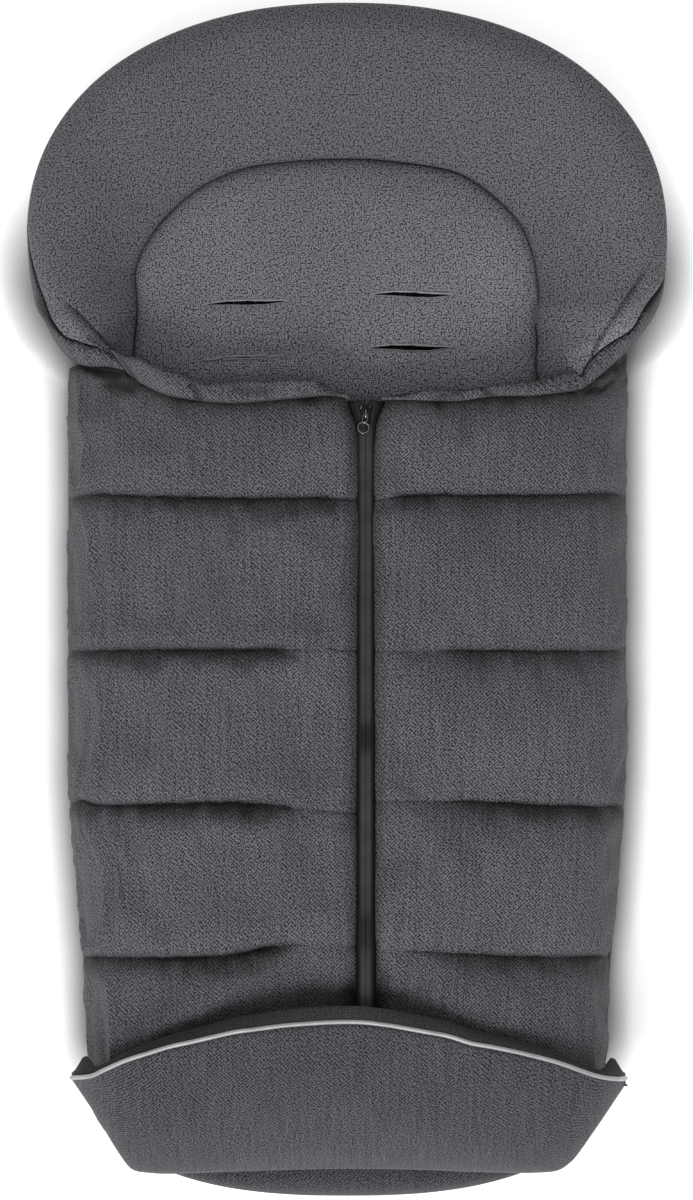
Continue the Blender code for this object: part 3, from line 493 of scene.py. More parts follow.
def piping(name, colour):
    """Reflective silver tape with glass beads too small to see, wrapped round a core."""
    f = Finish(name)
    beads = f.noise(f.place(), 2600.0)
    slow = f.noise(f.place(), 70.0)
    base = f.tones(f.total((beads, 0.5, 0), (slow, 0.5, 0)), colour, (0.35, 0.8), (0.65, 1.18))
    return f.set(Base_Color=base, Roughness=0.42, Metallic=0.25, Normal=f.bump(beads, 0.00005, 0.5))


def thread(name, colour):
    f = Finish(name)
    base = f.tinted(f.tones(f.noise(f.place(), 1800.0), colour, (0.3, 0.75), (0.7, 1.25)))
    return f.set(Base_Color=base, Roughness=0.7, Sheen_Weight=0.1)


def floor_finish():
    """A white floor that keeps soft shadows and is pure white to the camera elsewhere; beside the bag an ambient
    occlusion node paints a contact shade, reaching further toward the head, and at the head and foot ends a stronger
    glow washes the shadows out.
    """
    f = Finish("studio_floor")
    grain = f.tones(f.noise(f.place(), 40.0), WHITE, (0.3, 0.90), (0.7, 0.92))
    along = f.node("SeparateXYZ", {"Vector": f.place()}).outputs["Y"]
    beside = f.math("MULTIPLY", f.step(along, -0.425, -0.345), f.step(along, 0.375, 0.240))
    head = f.step(along, 0.150, 0.215)
    reach = f.math("ADD", f.math("MULTIPLY", head, 0.014), 0.024)
    depth = f.math("ADD", f.math("MULTIPLY", head, 0.8), 2.0)
    # Painted contact shade: an ambient occlusion node darkens the floor beside the bag's sides
    near = f.node("AmbientOcclusion", {"Distance": reach}, samples=8).outputs["AO"]
    dark = f.math("POWER", near, f.math("MULTIPLY", beside, depth))
    path = f.node("LightPath").outputs
    seen = f.math("MAXIMUM", path["Is Camera Ray"], path["Is Glossy Ray"])
    seen = f.math("MAXIMUM", seen, path["Is Transmission Ray"])
    lift = f.math("MULTIPLY", f.math("MULTIPLY", dark, beside), FLOOR_LIFT)
    lift = f.math("ADD", lift, f.math("MULTIPLY", f.math("SUBTRACT", 1.0, beside), END_LIFT))
    glow = f.math("MULTIPLY", seen, lift)
    return f.set(Base_Color=f.times(grain, dark), Roughness=0.9, Emission_Color=(*WHITE, 1.0), Emission_Strength=glow)


TWILL_COLOUR = (0.076, 0.078, 0.086)
TWILL = twill("grey_twill_weave", TWILL_COLOUR)
TWILL_FLAT = twill("grey_twill_back", TWILL_COLOUR, flat=True)
# Darker copies of the twill for the foot cover and the gusset: painted shade that offsets the key light falling
# brightly on their slopes
COVER_TWILL = twill("grey_twill_cover", (0.063, 0.065, 0.072))
GUSSET_TWILL = twill("grey_twill_gusset", (0.046, 0.048, 0.053))
FLEECE = fleece("grey_fleece_pile", (0.099, 0.101, 0.113))
# The harness pad's fleece is paler, partly its own colour and partly painted light against the shade in its hollow
PAD_FLEECE = fleece("grey_fleece_pad", (0.138, 0.141, 0.156))
PROOFED = coated("proofed_lining_cloth", (0.020, 0.020, 0.022))
TAPE = coated("coated_zip_tape", (0.038, 0.038, 0.039))
NYLON = thread("zip_coil_nylon", (0.020, 0.020, 0.021))
METAL = metal("slider_lacquer", (0.016, 0.016, 0.017))
SILVER = piping("reflective_piping", (0.40, 0.405, 0.41))
LIP_THREAD = thread("slot_thread", (0.30, 0.305, 0.32))


# Camera, lights and floor

CAMERA_HEIGHT = 9.0
VIEW_HEIGHT = 1200 * PIXEL
VIEW_PLANE = 0.05
VIEW_CENTRE_COLUMN = 346.5
SENSOR = 36.0
KEY_SHARE = 0.46
KEY_ELEVATION = 46
KEY_AZIMUTH = -16
KEY_WIDTH = 36
AMBIENT_SHARE = 0.54
FLOOR_RADIUS = 40.0
FLOOR_CORNERS = 48


def studio():
    scene = bpy.context.scene
    camera = bpy.data.objects.new("camera", bpy.data.cameras.new("camera"))
    camera.data.sensor_width = SENSOR
    camera.data.lens = SENSOR * CAMERA_HEIGHT / VIEW_HEIGHT
    camera.location = ((VIEW_CENTRE_COLUMN - MIDDLE_COLUMN) * PIXEL, 0.0, CAMERA_HEIGHT + VIEW_PLANE)
    scene.collection.objects.link(camera)
    scene.camera = camera

    turns = circle(FLOOR_CORNERS)
    disc = FLOOR_RADIUS * np.stack([np.cos(turns), np.sin(turns), 0 * turns], axis=1)
    mesh_piece("floor", disc, [range(FLOOR_CORNERS)], floor_finish())

    sun = bpy.data.objects.new("key_light", bpy.data.lights.new("key_light", "SUN"))
    sun.data.energy = KEY_SHARE * math.pi / math.sin(math.radians(KEY_ELEVATION))
    sun.data.angle = math.radians(KEY_WIDTH)
    sun.rotation_euler = (math.radians(90 - KEY_ELEVATION), 0.0, math.radians(KEY_AZIMUTH))
    scene.collection.objects.link(sun)
    scene.world = world = bpy.data.worlds.new("studio")
    world.use_nodes = True
    nodes, links = world.node_tree.nodes, world.node_tree.links
    background = nodes["Background"].inputs
    background["Color"].default_value = (*WHITE, 1.0)
    path = nodes.new("ShaderNodeLightPath").outputs
    seen = nodes.new("ShaderNodeMath")
    seen.operation = "MAXIMUM"
    links.new(path["Is Camera Ray"], seen.inputs[0])
    links.new(path["Is Transmission Ray"], seen.inputs[1])
    strength = nodes.new("ShaderNodeMapRange")
    strength.inputs["To Min"].default_value = AMBIENT_SHARE
    strength.inputs["To Max"].default_value = 1.0
    links.new(seen.outputs[0], strength.inputs["Value"])
    links.new(strength.outputs[0], background["Strength"])
    scene.view_settings.view_transform = "Standard"


studio()


# The front: its lines as the photograph's pixels, with -1 for the left half and 1 for the right

# Quilt seams from the collar down
SEAM_PIXELS = {
    -1: [
        [(66, 500), (72, 498), (150, 497), (240, 499), (332, 499), (352, 500)],
        [(66, 652), (120, 650), (200, 650), (272, 649), (352, 650)],
        [(66, 806), (77, 801), (96, 804), (170, 803), (257, 803), (300, 807), (352, 812)],
        [(66, 956), (120, 957), (213, 955), (242, 952), (279, 944), (352, 944)],
    ],
    1: [
        [(376, 501), (401, 497), (470, 496), (560, 495), (611, 494), (632, 496)],
        [(376, 651), (457, 650), (540, 651), (632, 651)],
        [(376, 800), (425, 800), (479, 801), (535, 804), (632, 807)],
        [(376, 948), (453, 951), (492, 954), (560, 956), (632, 957)],
    ],
}
# From the zip's middle: where each seam is first felt and where it is sewn
SEAM_FADES = {
    -1: [(0.006, 0.030), (0.050, 0.082), (0.050, 0.094), (0.040, 0.082)],
    1: [(0.010, 0.032), (0.046, 0.078), (0.044, 0.096), (0.016, 0.100)],
}
# The upper edge, under the collar band
COLLAR_PIXELS = {
    -1: [(60, 369), (69, 367), (77, 364), (87, 363), (100, 365), (118, 367), (134, 373), (156, 384), (187, 393),
         (223, 396), (268, 394), (312, 391), (339, 392), (352, 397)],
    1: [(378, 399), (403, 395), (426, 394), (459, 394), (486, 391), (533, 387), (577, 383), (592, 376), (612, 360),
        (627, 348), (636, 340)],
}
# Folds and painted shades: line, width, depth, how much painted shade darkens the cloth, and how softly each begins and
# ends
FRONT_FOLDS = {
    -1: [
        ([(77, 363), (93, 369), (107, 373), (123, 375)], 0.0024, 0.0070, 0.6, 0.15, 0.03),
        ([(94, 381), (112, 387), (128, 389), (146, 388)], 0.0060, 0.0034, 0.6, 0.4, 0.4),
        ([(72, 372), (90, 376), (112, 380)], 0.0045, -0.0014, 0, 0.3, 0.4),
        ([(224, 951), (243, 949), (262, 946), (279, 941)], 0.0035, 0.0020, 0.25, 0.3, 0.4),
        ([(318, 500), (330, 507), (336, 520)], 0.0040, 0.0018, 0.25, 0.3, 0.4),
        ([(262, 650), (285, 653), (305, 662)], 0.0050, 0.0016, 0.25, 0.3, 0.5),
        ([(262, 803), (290, 808), (328, 824)], 0.0060, 0.0034, 0.25, 0.3, 0.5),
        ([(140, 968), (190, 966), (250, 964), (320, 972)], 0.0085, 0.0014, 0.25, 0.35, 0.4),
        ([(72, 364), (84, 366), (100, 368), (122, 370)], 0.0014, 0, 0.6, 0.1, 0.03),
        ([(82, 368), (92, 373), (104, 377), (122, 375)], 0.0014, 0, 0.6, 0.1, 0.03),
        ([(98, 382), (112, 387), (128, 389), (142, 388)], 0.0050, 0, 0.6, 0.4, 0.4),
    ],
    1: [
        ([(578, 394), (600, 390), (615, 384), (629, 378)], 0.0022, 0.0040, 0.6, 0.2, 0.05),
        ([(611, 372), (619, 366), (629, 356)], 0.0048, 0.0072, 0.6, 0.2, 0.05),
        ([(596, 385), (612, 378), (627, 371)], 0.0034, -0.0030, 0, 0.2, 0.1),
        ([(560, 403), (590, 400), (615, 393)], 0.0060, -0.0014, 0, 0.4, 0.4),
        ([(376, 930), (382, 931), (388, 934)], 0.0016, 0.0012, 0.25, 0.2, 0.3),
        ([(386, 762), (396, 778), (414, 792), (430, 799)], 0.0045, 0.0030, 0.25, 0.3, 0.2),
        ([(398, 500), (389, 508), (384, 520)], 0.0040, 0.0018, 0.25, 0.3, 0.4),
        ([(440, 652), (420, 656), (404, 666)], 0.0050, 0.0016, 0.25, 0.3, 0.5),
        ([(614, 369), (619, 360), (624, 353), (628, 346)], 0.0046, 0, 0.6, 0.05, 0.02),
        ([(584, 390), (600, 388), (615, 382), (630, 375)], 0.0022, 0, 0.6, 0.2, 0.05),
    ],
}
# Each collar band's upper and lower edges
COLLAR_EDGES = {
    -1: (
        [(110, 349), (118, 353), (127, 357), (137, 358), (147, 363), (162, 369), (178, 374), (193, 381), (205, 384),
         (223, 382), (265, 381), (308, 380), (321, 384), (339, 394), (349, 397)],
        [(134, 382), (140, 385), (153, 392), (170, 397), (187, 400), (201, 402), (223, 404), (245, 404), (268, 402),
         (290, 400), (312, 398), (328, 397), (341, 398), (350, 400)],
    ),
    1: (
        [(382, 398), (403, 397), (426, 391), (447, 391), (468, 391), (484, 388), (499, 385), (530, 382), (540, 381),
         (552, 376), (563, 372), (578, 369), (590, 360)],
        [(382, 401), (403, 401), (432, 402), (459, 402), (486, 398), (510, 397), (530, 397), (547, 395), (563, 393),
         (580, 390), (596, 380)],
    ),
}
# Where the band and the collar cast their shade on the front
COLLAR_SHADE_PIXELS = {
    -1: [(60, 368), (75, 365), (95, 368), (116, 371), (126, 376)] + COLLAR_EDGES[-1][1][1:],
    1: COLLAR_EDGES[1][1] + [(604, 373), (612, 366), (622, 358), (632, 347), (640, 337)],
}
# The foot cover's edge over the front
COVER_EDGE_PIXELS = [
    (72, 1079), (92, 1076), (105, 1070), (127, 1060), (148, 1053), (170, 1046), (192, 1041), (213, 1036),
    (235, 1031), (257, 1028), (279, 1025), (300, 1023), (333, 1021), (361, 1021), (380, 1023), (394, 1025),
    (427, 1031), (448, 1035), (470, 1042), (492, 1046), (524, 1053), (557, 1062), (596, 1076), (626, 1081),
]
# Painted shade just under each seam, and the painted light that lifts some bands, from the foot up
BAND_SHADES = np.array([0.62, 0.95, 0.50, 0.50, 0.20])
BAND_PAINTED_LIGHT = np.array([0.02, 0.09, 0.07, 0.0, 0.0])
TOP_BAND = 4
ROW_STEPS = 26
ACROSS_STEPS = 84
SEAM_DEPTH = 0.0175
SEAM_NEAR = 0.0042
SEAM_FAR = 0.0110
STITCH_DEPTH = 0.0026
STITCH_WIDTH = 0.0013
FOOT_FADE = 0.25
COLLAR_FADE = 0.35
CORNER_DROP = 0.022
TOP_ROLL = 0.010
TOP_ROLL_DROP = 0.009
PIN_WIDTH = 0.0022
PANEL_THICKNESS = 0.024
PANEL_SIDE = 0.020
V_START = 0.137
V_END = 0.160
V_WIDENING = 0.0062
ZIP_EDGE = 0.0058
ZIP_FLARE = 0.0011
LIP_HALF = 0.176


def half_width(y):
    rounded = FOOT_HALF * dome(np.clip((SIDE_END - y) / FOOT_ROUND, 0.0, 1.0), FOOT_ROUNDNESS)
    straight = HALF_WIDTH - (HALF_WIDTH - FOOT_HALF) * (1 - smooth(y, SIDE_END, SIDE_END + TAPER_LENGTH))
    return np.where(y < SIDE_END, rounded, straight)


def crown_height(y):
    return FRONT_HEIGHT * dome(np.clip((ZIP_END - y) / FALL_LENGTH, 0.0, 1.0), FALL_ROUNDNESS)


def corner_drop(x):
    return CORNER_DROP * smooth(np.abs(x), 0.140, 0.202)


def zip_edge(y):
    return ZIP_EDGE + ZIP_FLARE * smooth(y, 0.050, V_START) + V_WIDENING * smooth(y, V_START, V_END)


def front_grid(side):
    """The quilted outer surface of one half of the front, from the foot end up, from the side to the zip."""
    steps = (1 - np.cos(np.pi * np.arange(ROW_STEPS + 1) / ROW_STEPS)) / 2
    shares = np.concatenate([[0.0]] + [band + steps[1:] for band in range(TOP_BAND + 1)])
    share, column = np.meshgrid(shares, np.linspace(0, 1, ACROSS_STEPS + 1), indexing="ij")
    band = np.clip(share.astype(int), 0, TOP_BAND)
    t = share - band

    def around(values):
        """Of the values along each seam, those of the seam below each place and of the seam above it."""
        return [np.take_along_axis(np.array(values), band[None] + k, 0)[0] for k in (0, 1)]

    y = mixed(FOOT_QUILT_END, COLLAR_LINE, share / (TOP_BAND + 1))
    for _ in range(4):
        reach = half_width(y) - side * ZIP_X
        edge = zip_edge(y)
        angle = np.arccos(np.clip(edge / reach, 0, 1) ** (FRONT_ROUNDNESS / 2)) * column
        wide = reach * np.cos(angle) ** (2 / FRONT_ROUNDNESS)
        x = ZIP_X + side * wide
        lines = SEAM_PIXELS[side][::-1] + [COLLAR_PIXELS[side]]
        low, high = around([np.full_like(x, FOOT_QUILT_END)] + [curve_y(line, x) for line in lines])
        y = mixed(low, high, t)
    sewn = [0.14 + 0.86 * smooth(wide, *ends) for ends in SEAM_FADES[side][::-1]]
    lower, upper = around([np.full_like(x, FOOT_FADE)] + sewn + [np.full_like(x, COLLAR_FADE)])
    below, above = t * (high - low), (1 - t) * (high - low)
    near = np.minimum(below, above)
    nearer = np.where(below < above, lower, upper)

    dip = SEAM_DEPTH * lower * (0.5 * fade(below, SEAM_NEAR) + 0.5 * fade(below, 0.020))
    dip = dip + SEAM_DEPTH * upper * fade(above, SEAM_FAR) + STITCH_DEPTH * fade(near, STITCH_WIDTH) * nearer
    pucker = waves(x, 0.3 * y + band, 0.026, 11 + side) * fade(above, 0.014) * 0.0013 * upper
    pucker = pucker + waves(x, 0.5 * y + band, 0.012, 15 + side) * fade(above, 0.008) * 0.0009 * upper
    pucker = pucker + waves(x, 0.2 * y + band, 0.015, 13 + side) * fade(below, 0.006) * 0.0007 * lower
    slow = waves(x, y, 0.100, 21 + side) * 0.0013 + waves(x, y, 0.045, 31 + side) * 0.0006
    slow = slow + waves(x, 0.3 * y, 0.022, 33 + side) * 0.00022
    drop = corner_drop(x) * smooth(y, 0.105, 0.185)
    drop = drop + TOP_ROLL_DROP * rolled(np.where(band == TOP_BAND, np.clip(1 - above / TOP_ROLL, 0, 1), 0))
    drop = drop + 0.014 * smooth(-y, 0.262, 0.318) * (1 - smooth(np.abs(x), 0.03, 0.13))
    drop = drop + 0.005 * smooth(y, 0.115, 0.160) * (1 - smooth(wide, 0.10, 0.17))
    drop = drop + creased(x, y, FRONT_FOLDS[side])[0]
    rise = crown_height(y) - dip - drop + (pucker + slow) * smooth(wide, 0.0, 0.02)
    from_zip = wide - edge
    rise = rise - 0.0065 * rolled(1 - np.clip(from_zip / 0.006, 0, 1)) - 0.0020 * (1 - smooth(from_zip, 0.0, 0.022))
    high_share = np.sin(angle) ** (2 / FRONT_ROUNDNESS)
    plain = np.stack([x, y, SEAT + crown_height(y) * high_share], axis=-1)
    draw = 0.0022 * fade(near, 0.012) * nearer
    x = x - side * draw * (1 - column) ** 2 + side * slow * 0.5 * (1 - column) ** 3

    # Painted shade under each seam and along its stitches, a dark line painted where the quilt meets the zip, painted
    # light on some bands, and painted shade in the folds
    uneven = 0.75 + 0.30 * waves(x, 0.4 * y + band, 0.020, 17 + side)
    tint = -BAND_SHADES[band] * bell(above, 0.013) * upper * uneven - 0.30 * bell(below, 0.003) * lower * uneven
    tint = np.clip(tint, -0.8, 0.2) - 0.45 * bell(from_zip, 0.0012) + BAND_PAINTED_LIGHT[band]
    tint = tint + creased(x, y, FRONT_FOLDS[side])[1]
    # Painted shade on the top band just under the collar
    under_collar = np.maximum(curve_y(COLLAR_SHADE_PIXELS[side], x) - y, 0)
    tint = tint - np.where(band == TOP_BAND, 0.82 * fade(under_collar, 0.0085), 0)
    # Painted shadow of the foot cover's lip on the front
    central = np.clip(1 - np.abs(x) / LIP_HALF, 0, 1)
    past_lip = y - curve_y(COVER_EDGE_PIXELS, np.clip(x, -0.21, 0.21)) - 0.0048 - 0.016 * central
    tint = tint - 0.66 * bell(past_lip, 0.0040 + 0.0080 * central, 4) * (1 - smooth(np.abs(x), 0.15, 0.20))
    pins = bell(near, PIN_WIDTH, 4) * np.clip(1.3 * nearer, 0, 1)
    pins = np.maximum(pins, bell(from_zip, 0.0030, 4))
    pins[:, :3] = 1.0
    pins[[0, -1]] = 1.0
    grid = np.stack([x, y, SEAT + rise * high_share], axis=-1)
    return grid, wide, cloth_lengths(plain) * (-side, 1), np.clip(tint, -0.9, 0.3), pins


def front_inner(side, grid, wide, depth, side_depth):
    """A surface inside one half of the front, one depth under its crown."""
    y = grid[..., 1]
    reach = half_width(y) - side * ZIP_X
    x = ZIP_X + side * wide * np.where(wide > 0.03, (reach - side_depth) / reach, 1.0)
    share = np.clip(np.abs(x - ZIP_X) / (reach - side_depth), 0.0, 1.0)
    crown = crown_height(y) - depth + 0.010 * (1 - smooth(wide, 0.006, 0.036)) * smooth(y, ZIP_END, ZIP_END + 0.03)
    return np.stack([x, y, SEAT + np.maximum(crown, 0.001) * dome(share, FRONT_ROUNDNESS)], axis=-1)


CLOTH_FRAMES = 16
CLOTH_GROWTH = 0.030
CLOTH_PRESSURE = 3.0
CLOTH_CAP = 0.0045
BULGE_KEPT = 0.35
BULGE_ROWS = 4
BULGE_COLUMNS = 5
# The flat cut of each half's lining, and its area, taken from the lining's own mesh
LINING_CUT = {-1: (0.245, 0.665), 1: (0.218, 0.675)}
LINING_AREA = {-1: 0.1503, 1: 0.1327}


def blurred(values, axis, reach):
    """A grid's values averaged with their neighbours along one axis."""
    kernel = np.exp(-0.5 * (np.arange(-3 * reach, 3 * reach + 1) / reach) ** 2)
    margins = [(3 * reach, 3 * reach) if number == axis else (0, 0) for number in range(values.ndim)]
    padded = np.pad(values, margins, mode="edge")
    return np.apply_along_axis(lambda line: np.convolve(line, kernel / kernel.sum(), mode="valid"), axis, padded)


def settled(grid, pins):
    """The quilted cloth after a cloth simulation: sewn at its pins, a little too long between them, and filled."""
    sheet = mesh_piece("cloth", grid, grid_faces(*grid.shape[:2])[:, ::-1], TWILL)
    if sheet.data.polygons[len(sheet.data.polygons) // 2].normal.z < 0:
        sheet.data.flip_normals()
    group = sheet.vertex_groups.new(name="sewn")
    for number, weight in enumerate(pins.ravel().tolist()):
        group.add([number], weight, "REPLACE")
    cloth = sheet.modifiers.new("cloth", "CLOTH")
    settings = cloth.settings
    settings.quality = 6
    settings.mass = 0.15
    settings.vertex_group_mass = "sewn"
    settings.use_pressure = True
    settings.uniform_pressure_force = CLOTH_PRESSURE
    settings.shrink_min = -CLOTH_GROWTH
    settings.bending_stiffness = 0.25
    settings.effector_weights.gravity = 0
    cloth.collision_settings.use_collision = False
    cloth.point_cache.frame_start = 1
    cloth.point_cache.frame_end = CLOTH_FRAMES
    for number in range(1, CLOTH_FRAMES + 1):
        bpy.context.scene.frame_set(number)
    mesh = sheet.evaluated_get(bpy.context.evaluated_depsgraph_get()).data
    after = np.zeros(3 * len(mesh.vertices), np.float32)
    mesh.vertices.foreach_get("co", after)
    move = after.reshape(grid.shape) - grid
    bpy.data.objects.remove(sheet)
    bpy.context.scene.frame_set(1)
    move = move - (1 - BULGE_KEPT) * blurred(blurred(move, 0, BULGE_ROWS), 1, BULGE_COLUMNS)
    length = np.linalg.norm(move, axis=2, keepdims=True)
    return grid + move * np.minimum(1.0, CLOTH_CAP / np.maximum(length, 1e-9)) * (1 - pins[..., None])


def build_front(side):
    word = WORDS[side]
    grid, wide, weave, tint, pins = front_grid(side)
    grid = settled(grid, pins)
    inner = front_inner(side, grid, wide, PANEL_THICKNESS, PANEL_SIDE)
    quilt = slab(f"{word}_front_quilt", grid, inner, TWILL, weave, tint)
    nodes = [f"front_{word}_side_quilt", f"{word}_flap_quilt"] + ["front_foot_quilt"] * (side < 0)
    declare(quilt, "twill", *nodes, fill=0.6)
    bend_with_flap(quilt, side)
    top = front_inner(side, grid, wide, PANEL_THICKNESS + 0.0006, PANEL_SIDE + 0.0006)
    low = front_inner(side, grid, wide, PANEL_THICKNESS + 0.003, PANEL_SIDE + 0.003)
    lining = slab(f"{word}_front_lining", top, low, FLEECE, cloth_lengths(grid))
    nodes = [f"front_{word}_side_lining", f"{word}_flap_lining"] + ["front_foot_lining"] * (side < 0)
    declare(lining, "fleece", *nodes, flat=LINING_CUT[side], held="stretched", rests_on=[quilt], area=LINING_AREA[side])
    bend_with_flap(lining, side)


for SIDE in WORDS:
    build_front(SIDE)


# Back and head section

# The seam round the harness pad, the fleece's edge and the outer cloth's edge
ARCH_LEFT = [(132, 380), (133, 358), (136, 327), (137, 305), (135, 280)]
ARCH_TOP = [
    (135, 280), (135, 272), (138, 260), (147, 240), (167, 213), (201, 185), (243, 167), (290, 160), (345, 157),
    (388, 159), (439, 166), (468, 176), (499, 199), (522, 225), (534, 254), (538, 281),
]
ARCH_RIGHT = [(538, 281), (539, 297), (535, 315), (537, 339), (536, 362), (540, 388)]
FLEECE_LEFT = [
    (133, 380), (124, 366), (116, 356), (108, 350), (100, 347), (90, 345), (75, 340), (65, 336), (53, 320),
    (45, 300), (37, 278), (30, 250), (26.5, 223),
]
FLEECE_RIGHT = [
    (666.5, 257), (665, 272), (662, 283), (655, 293), (647, 303), (640, 315), (633, 327), (625, 334), (613, 341),
    (600, 350), (591, 358), (584, 368), (580, 380),
]
OUTER_LEFT = [
    (134, 384), (126, 376), (118, 370), (108, 367), (95, 367), (85, 366), (75, 362), (63, 352), (53, 338),
    (45, 322), (36, 306), (29, 270), (26, 223),
]
OUTER_RIGHT = [
    (667, 257), (665, 280), (663, 293), (659, 306), (653, 318), (647, 327), (638, 338), (630, 348), (620, 358),
    (610, 367), (602, 374), (593, 381), (584, 388),
]
CORNER_STEPS = 64
TOP_STEPS = 190
HOOD_CORNER = (0.0468, 0.104)
HOOD_RISE = 0.1884


def head_outline():
    """The head section's edge above its lower corners, from the left over the top to the right."""
    turn = np.linspace(0.55, 2, 100)
    low, up = (np.clip(share, 0, 1) * np.pi / 2 for share in (1 - turn, turn - 1))
    widest = HEAD_END - HOOD_RISE
    x_low = HOOD_HALF - HOOD_CORNER[0] + HOOD_CORNER[0] * np.cos(low) ** (2 / 1.85)
    y_low = widest - HOOD_CORNER[1] * np.sin(low) ** (2 / 1.85)
    high = np.stack([HOOD_HALF * np.cos(up) ** (2 / 2.2), widest + HOOD_RISE * np.sin(up) ** (2 / 2.2)], axis=1)
    right = np.where(turn[:, None] <= 1, np.stack([x_low, y_low], axis=1), high)
    whole = np.concatenate([right * (-1, 1), right[-2::-1]])
    starts = np.where(whole[:, 0] < 0, pixels(OUTER_LEFT[-1])[1], pixels(OUTER_RIGHT[0])[1])
    return path_through(whole[whole[:, 1] >= starts][::2], TOP_STEPS)


def head_path(left, top, right):
    return np.concatenate([pixel_path(left, CORNER_STEPS)[:-1], top, pixel_path(right, CORNER_STEPS)[1:]])


ARCH = head_path(ARCH_LEFT, pixel_path(ARCH_TOP, TOP_STEPS), ARCH_RIGHT)
FLEECE_EDGE = head_path(FLEECE_LEFT, head_outline(), FLEECE_RIGHT)
OUTER_EDGE = head_path(OUTER_LEFT, head_outline(), OUTER_RIGHT)
OUTWARD = unit(OUTER_EDGE - (0.0, HINGE_LINE + 0.12))
HEAD_COLUMNS = len(ARCH)
# How far each column of the rim is into a lower corner, from 0 over the top to 1 under the collar
FROM_END = np.minimum(np.arange(HEAD_COLUMNS), np.arange(HEAD_COLUMNS)[::-1])
CORNER = np.clip(1 - FROM_END / CORNER_STEPS, 0, 1)
EDGE_HEIGHT = mixed(0.044, 0.068, smooth(CORNER, 0.0, 0.8))
CREST_HEIGHT = mixed(0.058, 0.069, smooth(CORNER, 0.0, 0.8))
SEAM_HEIGHT = mixed(0.0265, 0.034, smooth(CORNER, 0.5, 1.0))
RIM_ACROSS = 48
RIM_CREST = 0.80
RIM_FOLDS = [
    ([(57, 294), (70, 306), (82, 317), (97, 333), (110, 348)], 0.0015, 0.0052, 0.5, 0.5, 0.03),
    ([(60, 306), (76, 323), (92, 338)], 0.0070, -0.0042, 0, 0.3, 0.3),
    ([(104, 352), (118, 346), (128, 338)], 0.0050, 0.0020, 0.5, 0.3, 0.3),
    ([(652, 257), (640, 277), (630, 293), (617, 312), (605, 330), (597, 343), (591, 358)],
     0.0015, 0.0056, 0.5, 0.25, 0.03),
    ([(643, 290), (628, 312), (608, 338)], 0.0070, -0.0044, 0, 0.3, 0.3),
    ([(571, 362), (582, 356), (590, 346)], 0.0050, 0.0022, 0.5, 0.3, 0.3),
]
# Where the outer cloth beside the fleece lies in deep shade
BAND_HOLLOWS = [
    ([(34, 290), (41, 308), (51, 323), (62, 332), (72, 338)], 0.0034, 0, 0.8, 0.3, 0.3),
    ([(665, 262), (659, 282), (653, 296), (646, 308), (640, 316)], 0.0066, 0, 0.8, 0.15, 0.25),
]
BAND_ROWS = np.linspace(0, 1, 10)
WALL_ROWS = np.linspace(0, 1, 14)[1:]
BASE_INSET = 0.017


def bag_edge(inset):
    """The bag's plan below the hinge line, from its upper left corner round the foot to the upper right."""
    turn = np.linspace(0, np.pi / 2, 34)
    foot_x = FOOT_HALF * np.cos(turn) ** (2 / FOOT_ROUNDNESS)
    foot_y = SIDE_END - FOOT_ROUND * np.sin(turn) ** (2 / FOOT_ROUNDNESS)
    upper = np.linspace(HINGE_LINE, SIDE_END, 40)[:-1]
    right = np.concatenate([np.stack([half_width(upper), upper], -1), np.stack([foot_x, foot_y], -1)])
    whole = np.concatenate([right * (-1, 1), right[-2::-1]])
    whole = whole - unit(whole - (0.0, -0.15)) * inset
    return np.minimum(whole, (np.inf, HINGE_LINE))


def collar_shade(x, y):
    """How far places are above the collar, and the shade painted on the fleece where it runs down behind it."""
    left, right = (curve_y(COLLAR_EDGES[side][0], x) for side in WORDS)
    above = np.maximum(y - np.where(x < ZIP_X, left, right), 0)
    return above, -0.55 * fade(above, 0.0032)


def rim_grid():
    """The fleece over the raised rim, from the arch seam to its outer edge."""
    share = 1 - (1 - np.linspace(0, 1, RIM_ACROSS + 1)[:, None]) ** 1.25
    x, y = (mixed(ARCH[:, k], FLEECE_EDGE[:, k], share) for k in (0, 1))
    width = np.linalg.norm(FLEECE_EDGE - ARCH, axis=1)
    up = mixed(SEAM_HEIGHT, CREST_HEIGHT, np.sin(np.clip(share / RIM_CREST, 0, 1) * np.pi / 2) ** 1.15)
    down = mixed(CREST_HEIGHT, EDGE_HEIGHT, (np.clip(share - RIM_CREST, 0, 1) / (1 - RIM_CREST)) ** 2)
    z = np.where(share < RIM_CREST, up, down)
    z = z - 0.0050 * fade(share * width, 0.0022) - 0.0020 * fade(share * width, 0.010)
    z = z + waves(x, y, 0.14, 5) * 0.0016 * smooth(share, 0.02, 0.3) + waves(x, y, 0.055, 6) * 0.0005
    z = z - creased(x, y, RIM_FOLDS)[0] - 0.0030 * rolled(1 - np.clip((1 - share) * width / 0.0045, 0, 1))
    return np.stack([x, y, z], axis=-1)


